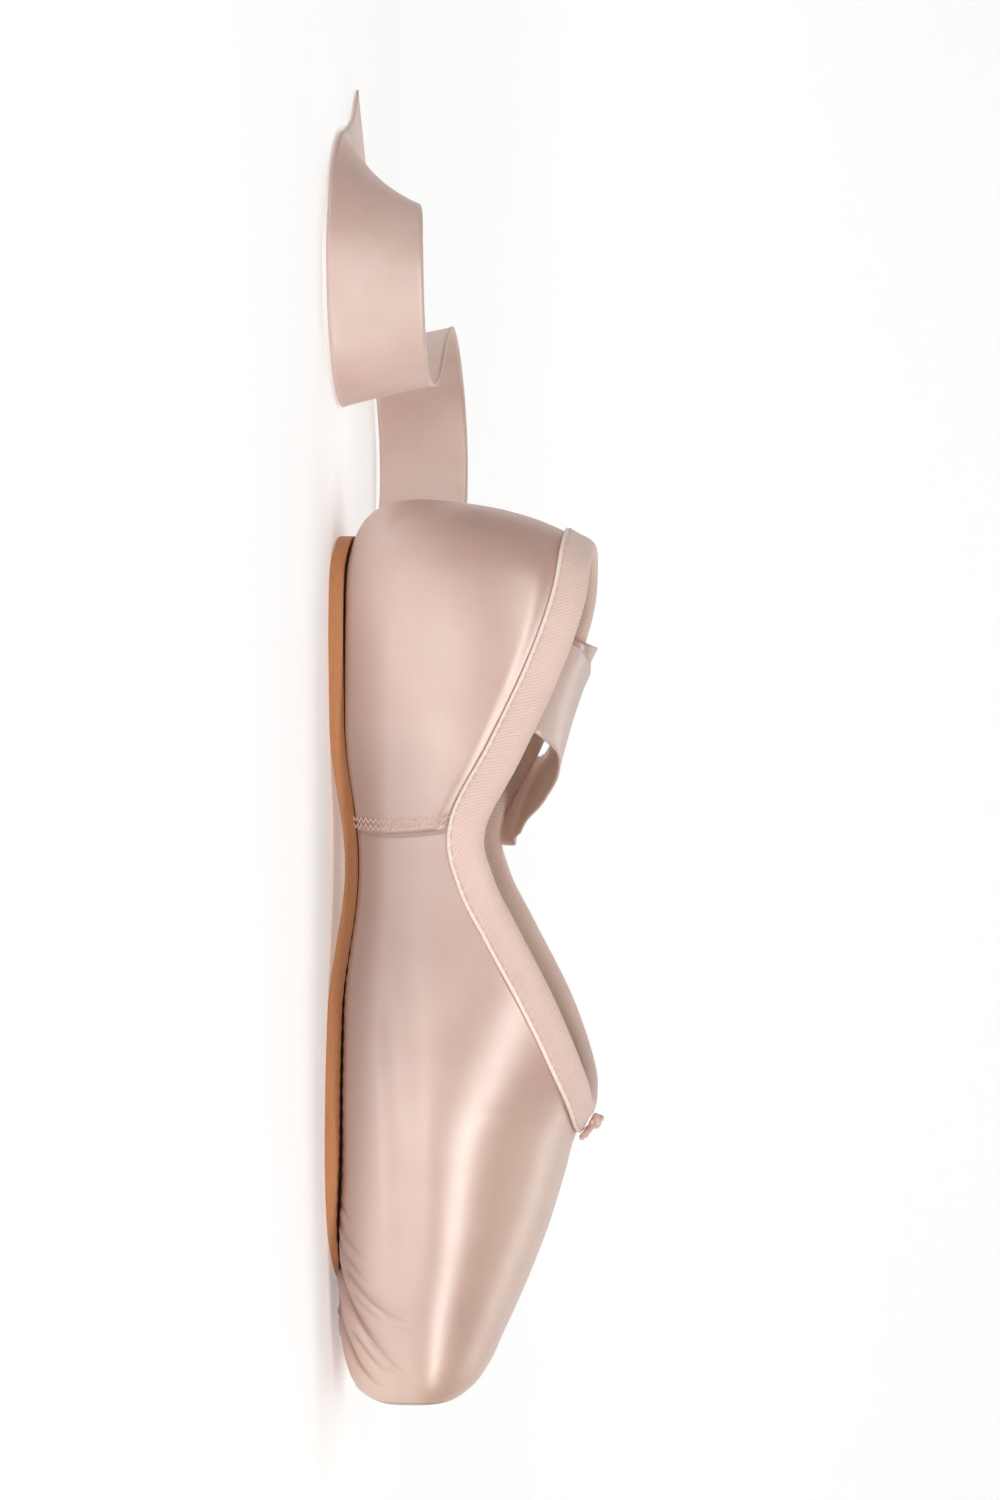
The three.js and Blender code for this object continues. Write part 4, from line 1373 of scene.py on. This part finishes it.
class SHOE_OT_upper(bpy.types.Operator):
    """The satin upper on its stiffened box, with its side seam, pleats and tucks"""

    bl_idname = "shoe.upper"
    bl_label = "Upper"

    def execute(self, context):
        finish = finish_of(context)
        s_rows = upper_rows()
        columns = 145
        places = upper_places(s_rows, columns)
        back, face = closing_rings(places[0], HEEL_RINGS), closing_rings(places[-1], FACE_RINGS)
        places = np.concatenate([back, places, face])
        past = LENGTH + (1 - np.array(FACE_RINGS)) * PLATFORM_HEIGHT / 4
        s_rows = np.concatenate([[-1.0], s_rows, past])
        normals = grid_normals(places)
        flat, flat_normals = places.reshape(-1, 3), normals.reshape(-1, 3)
        pleat = finish.pleat_depth / PLEAT_DEPTH
        shift, shade, joint, warm = upper_relief(flat, flat_normals, pleat)
        moved = (flat + flat_normals * shift[:, None]).reshape(places.shape)
        around = run_around(places)
        around -= around[:, -1:] / 2
        obj = laid_grid("upper_satin", moved, s_rows, around)
        mesh = obj.data
        for name, values in (("shade", shade), ("joint", joint), ("warm", warm)):
            tint(obj, name, values)
        box = obj.vertex_groups.new(name="wall")
        thick = wall_at(flat[:, 0] + LENGTH / 2) / BOX_WALL
        for level in np.unique(np.round(thick, 2)):
            box.add([int(i) for i in np.flatnonzero(np.round(thick, 2) == level)], float(level), "REPLACE")

        # Out goes what the lasting margin leaves open under the insole.
        away, _ = sole_edge_distance(flat)
        low = flat[:, 2] < sole_seat(flat[:, 0] + LENGTH / 2) + WALL
        drop = (away < -LASTING_MARGIN) & low
        edit(
            obj,
            lambda: bpy.ops.mesh.select_mode(type="VERT"),
            lambda: bpy.ops.mesh.select_all(action="DESELECT"),
        )
        mesh.vertices.foreach_set("select", drop)
        bpy.ops.object.mode_set(mode="EDIT")
        bpy.ops.mesh.delete(type="VERT")
        edit(
            obj,
            lambda: bpy.ops.mesh.remove_doubles(threshold=WELD),
            lambda: bpy.ops.mesh.select_all(action="SELECT"),
            lambda: bpy.ops.mesh.normals_make_consistent(inside=False),
        )
        mesh.update()
        centre = Vector((0.0, 0.0, 0.03))
        outwards = sum((f.center - centre).dot(f.normal) * f.area for f in mesh.polygons)
        if outwards < 0:
            edit(obj, lambda: bpy.ops.mesh.flip_normals())

        satin = satin_material("woven_satin", finish.satin, finish.satin_deep, 0.35, 0.08, SATIN_THREAD)
        lining = cotton_material("cotton_lining", finish.lining, "DFCDB9", COTTON_WEAVE, 0.4)
        settle(obj, [satin, lining], "satin", "upper")
        apply(
            obj,
            "SOLIDIFY",
            thickness=BOX_WALL / 1000,
            offset=-1,
            use_even_offset=False,
            vertex_group="wall",
            material_offset=1,
            material_offset_rim=0,
        )
        return {"FINISHED"}


# Sole and insole
def sole_top(s, y):
    """Height of the sole's upper face: its edge is drawn up close under the satin, to its free lip."""
    last = under_point(s, y)[..., 2] - SOLE_JOINT
    return np.minimum(last, sole_seat(s) + SOLE_LIP)


class SHOE_OT_outsole(bpy.types.Operator):
    """The thin leather sole, skived at its tip, with its bevelled and burnished edge"""

    bl_idname = "shoe.outsole"
    bl_label = "Outsole"

    def execute(self, context):
        finish = finish_of(context)
        steps, across = 420, 15
        u = np.linspace(0, len(SOLE_AT) - 1, steps)
        s = through(SOLE_AT, u)
        half = np.maximum(through(SOLE_HALF, u), 0.35)
        # The cut edge wavers a little, and its upper rim is scalloped by the tucks of the satin.
        half = half + SOLE_WAVER * np.sin(s / 5.3) * smooth(1, 6, half)
        under, seat = sole_underside(s), sole_seat(s)
        bevel = np.minimum(SOLE_BEVEL, (seat - under) / 2)
        rim = sole_top(s, half)
        rim = rim - SOLE_SCALLOP * tuck_at(s) * smooth(95, 125, s)
        rim = np.maximum(rim, under + bevel + 0.15)
        share = np.linspace(0, 1, across)
        rings = []
        edges = []
        for i in range(steps):
            h = half[i]
            inner = max(h - bevel[i], 0.2)
            side = [(inner * v, under[i]) for v in share]
            marks = [0.0] * across
            for a in (0.25, 0.5, 0.75):
                angle = a * math.pi / 2
                out, up = math.sin(angle), 1 - math.cos(angle)
                side.append((inner + (h - inner) * out, under[i] + bevel[i] * up))
                marks.append(a)
            for v in (0.0, 0.33, 0.66, 0.92):
                side.append((h, mix(under[i] + bevel[i], rim[i], v)))
                marks.append(1.0)
            side.append((max(h - 0.12, 0.1), rim[i]))
            marks.append(1.0)
            for v in np.linspace(0.97, 0, 12):
                y = max(h - 0.25, 0.1) * v
                highest = rim[i] if v > 0.96 else math.inf
                side.append((y, float(np.minimum(sole_top(s[i], y), highest))))
                marks.append(0.3)
            other = [(-y, z) for y, z in side[::-1]]
            ring = side + other[1:]
            rings.append([(s[i] - LENGTH / 2, y, z) for y, z in ring])
            edges.append(marks + marks[::-1][1:])
        places = np.array(rings)
        obj = laid_grid("outsole_leather", places, s, run_around(places))
        tint(obj, "shade", edges)
        seal(obj)
        bpy.ops.object.shade_smooth_by_angle(angle=math.radians(40))
        leather = leather_material("tanned_sole_leather", finish.leather, "BC8559", finish.leather_edge)
        settle(obj, leather, "sole_leather", "outsole")
        return {"FINISHED"}


class SHOE_OT_insole(bpy.types.Operator):
    """The covered insole board on the floor inside"""

    bl_idname = "shoe.insole"
    bl_label = "Insole"

    def execute(self, context):
        steps = 260
        s = np.linspace(INSOLE_FROM_HEEL, LENGTH - INSOLE_FROM_TOE, steps)
        c = section_at(s)
        wall = wall_at(s)
        half = c["half"] - wall - GAP
        low = c["floor"] + wall + GAP
        top = np.maximum(sole_seat(s) + wall + 2 * GAP + INSOLE_THICKNESS, low + 0.05)
        belt = c["belt"]
        rings = []
        for i in range(steps):
            heights = np.linspace(0, 1, 6)
            z = mix(low[i], top[i] - 0.25, heights)
            fill = np.clip((belt[i] - z) / (belt[i] - low[i]), 0, 1) ** c["under"][i]
            y = half[i] * (1 - fill) ** (1 / c["under"][i]) - 0.12
            y = np.maximum(y, 0.05)
            bottom = [(v * y[0], z[0]) for v in (0.0, 0.5)]
            side = list(zip(y, z))
            wide = y[-1]
            crown = [(max(wide - 0.3, 0.05), top[i] - 0.05)]
            crown += [(wide * v, top[i]) for v in (0.97, 0.85, 0.6, 0.3, 0.0)]
            half_ring = bottom + side + crown
            ring = half_ring + [(-a, b) for a, b in half_ring[::-1]][1:]
            rings.append([(s[i] - LENGTH / 2, a, b) for a, b in ring])
        places = np.array(rings)
        obj = laid_grid("insole_board", places, s, run_around(places))
        seal(obj)
        bpy.ops.object.shade_smooth_by_angle(angle=math.radians(45))
        cloth = cotton_material("sock_lining_cotton", "E6D6C4", "D9C4AE", COTTON_WEAVE, 0.5)
        settle(obj, cloth, "insole_board", "insole")
        return {"FINISHED"}


# Casing, knot and stitches
LEAF_ROWS = 9


def binding_leaves(steps):
    """The way down from the collar's edge, the edge's length, and points and normals down the wall
    below it, in rows one after another to the casing's full width."""
    point, along, out, down, run = collar_edge(steps)
    wall = [(point, out)]
    place, way = point.copy(), down.copy()
    for _ in range(LEAF_ROWS):
        place = onto_last(place + way * BINDING_WIDTH / LEAF_ROWS)
        normal = unit(slope_at(place))
        way = unit(np.cross(along, normal))
        wall.append((place.copy(), normal))
    return down, run, wall


class SHOE_OT_binding(bpy.types.Operator):
    """The casing folded over the topline, with its drawstring's roll and its two stitched edges"""

    bl_idname = "shoe.binding"
    bl_label = "Binding"

    def execute(self, context):
        finish = finish_of(context)
        steps = 560
        down, run, wall = binding_leaves(steps)
        thick = BINDING_THICKNESS
        rows_in = LEAF_ROWS + 1
        width = np.linspace(0, BINDING_WIDTH, rows_in)
        length = np.arange(steps) / steps * run
        # The drawstring rolls the top of the casing out, and the tape puckers a little along its edge.
        roll = CASING_ROLL * np.exp(-(((width - 1.6) / 1.5) ** 2))
        dent = CASING_DENT * np.exp(-(((width - STITCH_LINE) / 0.5) ** 2))
        pucker = CASING_PUCKER * np.sin(length / 3.1 + 0.9 * np.sin(length / 17))
        rings = []
        wall_mm = [wall_at(p[:, 0] + LENGTH / 2) for p, n in wall]

        def face(k, away):
            p, n = wall[k]
            return p + n * np.asarray(away)[..., None] if np.ndim(away) else p + n * away

        for k in range(rows_in - 1, -1, -1):
            lift = CASING_GAP + thick + roll[k] - dent[k] + pucker * smooth(3, 7.5, width[k])
            turned_in = CASING_TURN_IN if k == rows_in - 1 else 0.0
            rings.append(face(k, lift - turned_in))
        # The rounded top.
        half = (wall_mm[0] / 2) + CASING_GAP + thick
        mid = face(0, -wall_mm[0] / 2)
        for a in np.linspace(0.16, math.pi - 0.16, 9):
            side = (half * math.cos(a))[:, None] * wall[0][1]
            rings.append(mid + side - down * (CASING_GAP + thick + 0.25) * math.sin(a) ** 0.9)
        inside = BINDING_INSIDE / BINDING_WIDTH

        def inner(k, away):
            start = face(0, -wall_mm[0] - away)
            return start + (face(k, -wall_mm[k] - away) - start) * inside

        for k in range(rows_in):
            lift = CASING_GAP + thick + 0.6 * roll[k] - dent[k]
            rings.append(inner(k, lift))
        for k in range(rows_in - 1, -1, -1):
            rings.append(inner(k, CASING_GAP))
        rings.append(face(0, -wall_mm[0] - CASING_GAP) - down * CASING_GAP)
        rings.append(face(0, CASING_GAP) - down * CASING_GAP)
        for k in range(rows_in):
            rings.append(face(k, CASING_GAP))
        rings.append(rings[0])
        places = np.stack(rings, 1)
        places = np.concatenate([places, places[:1]])
        obj = laid_grid("binding_casing", places, np.append(length, run), run_along(places[0]))
        edit(
            obj,
            lambda: bpy.ops.mesh.remove_doubles(threshold=WELD),
            lambda: bpy.ops.mesh.normals_make_consistent(inside=False),
        )
        tape = twill_material("cotton_twill_casing", finish.casing, "EACEC2", edge_highlight=0.85)
        settle(obj, tape, "casing", "binding")
        return {"FINISHED"}


def tube(name, path, radius, sides):
    """A round cord along a path, closed at both ends."""
    path = np.asarray(path, float)
    way = unit(np.gradient(path, axis=0))
    start = np.array([0.0, 0.0, 1.0]) if abs(way[0, 2]) < 0.9 else np.array([1.0, 0.0, 0.0])
    side = unit(np.cross(way[0], start))
    rings = []
    for i, p in enumerate(path):
        side = unit(side - way[i] * np.dot(side, way[i]))
        other = np.cross(way[i], side)
        near_end = min(i, len(path) - 1 - i) / 3
        r = radius * math.sqrt(max(0.02, 1 - (1 - min(near_end, 1)) ** 2))
        angle = np.linspace(0, 2 * math.pi, sides + 1)
        rings.append(p + r * (np.cos(angle)[:, None] * side + np.sin(angle)[:, None] * other))
    places = np.array(rings)
    around = np.linspace(0, 2 * math.pi * radius, sides + 1)
    obj = laid_grid(name, places, run_along(path), around)
    seal(obj, CORD_WELD)
    return obj


class SHOE_OT_knot(bpy.types.Operator):
    """The small knot of the drawstring in the middle of the throat, with its two ends"""

    bl_idname = "shoe.knot"
    bl_label = "Drawstring knot"

    def execute(self, context):
        finish = finish_of(context)
        point, along, _, down, _ = collar_edge(56)
        place = onto_last((point[0] + down[0] * BINDING_WIDTH / 2)[None])
        n = unit(slope_at(place))[0]
        side = along[0]
        ahead = np.cross(n, side)
        centre = place[0] + n * (CASING_GAP + BINDING_THICKNESS + GAP + KNOT_HEIGHT / 2 + 0.15)
        # The turns follow a trefoil, a little flattened.
        t = np.linspace(0, 2 * math.pi, 96)
        loops = [
            0.98 * (np.sin(t) + 2 * np.sin(2 * t)) * 0.72,
            0.78 * (np.cos(t) - 2 * np.cos(2 * t)) * 0.62,
            -0.72 * np.sin(3 * t),
        ]
        wound = centre + loops[0][:, None] * side + loops[1][:, None] * ahead + loops[2][:, None] * n
        parts = [tube("knot_turns", wound[:-1], KNOT_CORD_RADIUS, 10)]
        for way in (-1, 1):
            v = np.linspace(0, 1, 22)
            reach = -0.8 - 6.4 * v
            lean = math.pi / 5 * way
            x = -reach * math.sin(lean) * (1 + 0.25 * v)
            y = reach * math.cos(lean)
            z = -0.35 - 0.55 * np.sin(v * math.pi / 2) + 0.25 * np.sin(v * 7 + way)
            strand = centre + x[:, None] * side + y[:, None] * ahead + z[:, None] * n
            parts.append(tube("knot_end", strand, STRING_RADIUS, 9))
        obj = joined("drawstring_knot_cord", parts)
        cord = cotton_material("braided_cotton_cord", finish.casing, "DDB9AC", CORD_WEAVE, 0.7)
        settle(obj, cord, "casing", "drawstring_knot")
        return {"FINISHED"}


def stitches(name, starts, ends, normals, radius, rise):
    """Short threads from starts to ends, each lying bowed on the surface. One stitch is made and its
    copies are placed, each with its own mesh, as one piece."""
    deselect_all()
    bpy.ops.mesh.primitive_uv_sphere_add(segments=6, ring_count=6, radius=1)
    first = bpy.context.object
    shape = np.empty(len(first.data.vertices) * 3, np.float32)
    first.data.vertices.foreach_get("co", shape)
    shape = shape.reshape(-1, 3).astype(float)
    apply(
        first,
        "ARRAY",
        count=len(starts),
        use_relative_offset=False,
        use_constant_offset=True,
        constant_offset_displace=(3, 0, 0),
    )
    first.name = first.data.name = name
    way = ends - starts
    long = np.linalg.norm(way, axis=1)
    way = unit(way)
    side = unit(np.cross(normals, way))
    up = np.cross(way, side)
    middle = (starts + ends) / 2
    # The sphere's Z axis becomes the stitch's length.
    bow = (1 - shape[:, 2] ** 2) * rise
    places = (
        middle[:, None]
        + way[:, None] * (shape[:, 2] * 0.5)[None, :, None] * (long + 2 * radius)[:, None, None]
        + side[:, None] * (shape[:, 0] * radius)[None, :, None]
        + up[:, None] * (shape[:, 1] * radius + bow)[None, :, None]
    )
    first.data.vertices.foreach_set("co", (places.reshape(-1, 3) / 1000).ravel())
    first.data.update()
    pick(first)
    bpy.ops.object.shade_smooth()
    return first


class SHOE_OT_stitches(bpy.types.Operator):
    """The stitches of the casing's edge and of the side seams"""

    bl_idname = "shoe.stitches"
    bl_label = "Stitches"

    def execute(self, context):
        finish = finish_of(context)
        thread = thread_material("mercerised_thread", finish.thread)
        steps = 2400
        _, run, wall = binding_leaves(steps)
        pitch = finish.stitch * 1000 * 1.28
        count = int(run / pitch)
        share = STITCH_LINE / BINDING_WIDTH * LEAF_ROWS
        k, f = int(share), share - int(share)
        line = mix(wall[k][0], wall[min(k + 1, LEAF_ROWS)][0], f)
        normal = wall[k][1]
        start = (np.arange(count) / count * steps).astype(int)
        end = (start + int(steps * finish.stitch * 1000 / run)) % steps
        lift = CASING_GAP + BINDING_THICKNESS - 0.05
        made = [
            stitches(
                "casing_stitches_out",
                line[start] + normal[start] * lift,
                line[end] + normal[end] * lift,
                normal[start],
                THREAD_RADIUS,
                0.12,
            )
        ]
        thick = wall_at(line[:, 0] + LENGTH / 2)
        inside = BINDING_INSIDE / BINDING_WIDTH
        wall0 = wall_at(wall[0][0][:, 0] + LENGTH / 2)
        top = wall[0][0] - wall[0][1] * (wall0 + lift)[:, None]
        low = line - normal * (thick + lift)[:, None]
        inner = top + (low - top) * inside
        facing_in = -normal[start]
        made.append(
            stitches(
                "casing_stitches_in", inner[start], inner[end], facing_in, INSIDE_THREAD_RADIUS, 0.08
            )
        )
        # Two rows of zigzag behind each side seam.
        for side in (-1, 1):
            for offset in ZIGZAG_ROWS:
                z = np.linspace(5.2, 34.0, 46)
                s = seam_at(z) - offset + ZIGZAG_SWING * np.where(np.arange(len(z)) % 2 == 0, 1, -1)
                p = side_point(s, z, side)
                near = 0.3
                ahead = side_point(s + near, z, side) - side_point(s - near, z, side)
                up = side_point(s, z + near, side) - side_point(s, z - near, side)
                n = unit(np.cross(ahead, up) * -side)
                keep = z < topline_height(s) - BINDING_WIDTH + 0.5
                p = (p + n * (SEAM_STEP + 0.02))[keep]
                n = n[keep]
                made.append(
                    stitches("seam_zigzag", p[:-1], p[1:], n[:-1], ZIGZAG_THREAD_RADIUS, 0.05)
                )
        obj = joined("stitching_thread", made)
        settle(obj, thread, "satin")
        return {"FINISHED"}


# Panel and registration
class SHOE_PT_panel(bpy.types.Panel):
    bl_idname = "SHOE_PT_panel"
    bl_label = "Pointe shoe"
    bl_space_type = "VIEW_3D"
    bl_region_type = "UI"
    bl_category = "Shoe"

    def draw(self, context):
        finish = finish_of(context)
        for name in finish.bl_rna.properties.keys():
            if name not in ("rna_type", "name"):
                self.layout.prop(finish, name)
        for operator in OPERATORS:
            self.layout.operator(operator.bl_idname)


OPERATORS = (
    SHOE_OT_stage,
    SHOE_OT_ribbons,
    SHOE_OT_upper,
    SHOE_OT_outsole,
    SHOE_OT_insole,
    SHOE_OT_binding,
    SHOE_OT_knot,
    SHOE_OT_stitches,
)
CLASSES = (ShoeFinish, *OPERATORS, SHOE_PT_panel)


def register():
    for one in CLASSES:
        bpy.utils.register_class(one)
    bpy.types.Scene.shoe_finish = bpy.props.PointerProperty(type=ShoeFinish)


def unregister():
    del bpy.types.Scene.shoe_finish
    for one in reversed(CLASSES):
        bpy.utils.unregister_class(one)


def main():
    register()
    bpy.ops.shoe.stage()
    bpy.ops.shoe.ribbons()
    bpy.ops.shoe.upper()
    bpy.ops.shoe.outsole()
    bpy.ops.shoe.insole()
    bpy.ops.shoe.binding()
    bpy.ops.shoe.knot()
    bpy.ops.shoe.stitches()
    deselect_all()


if __name__ == "__main__":
    main()
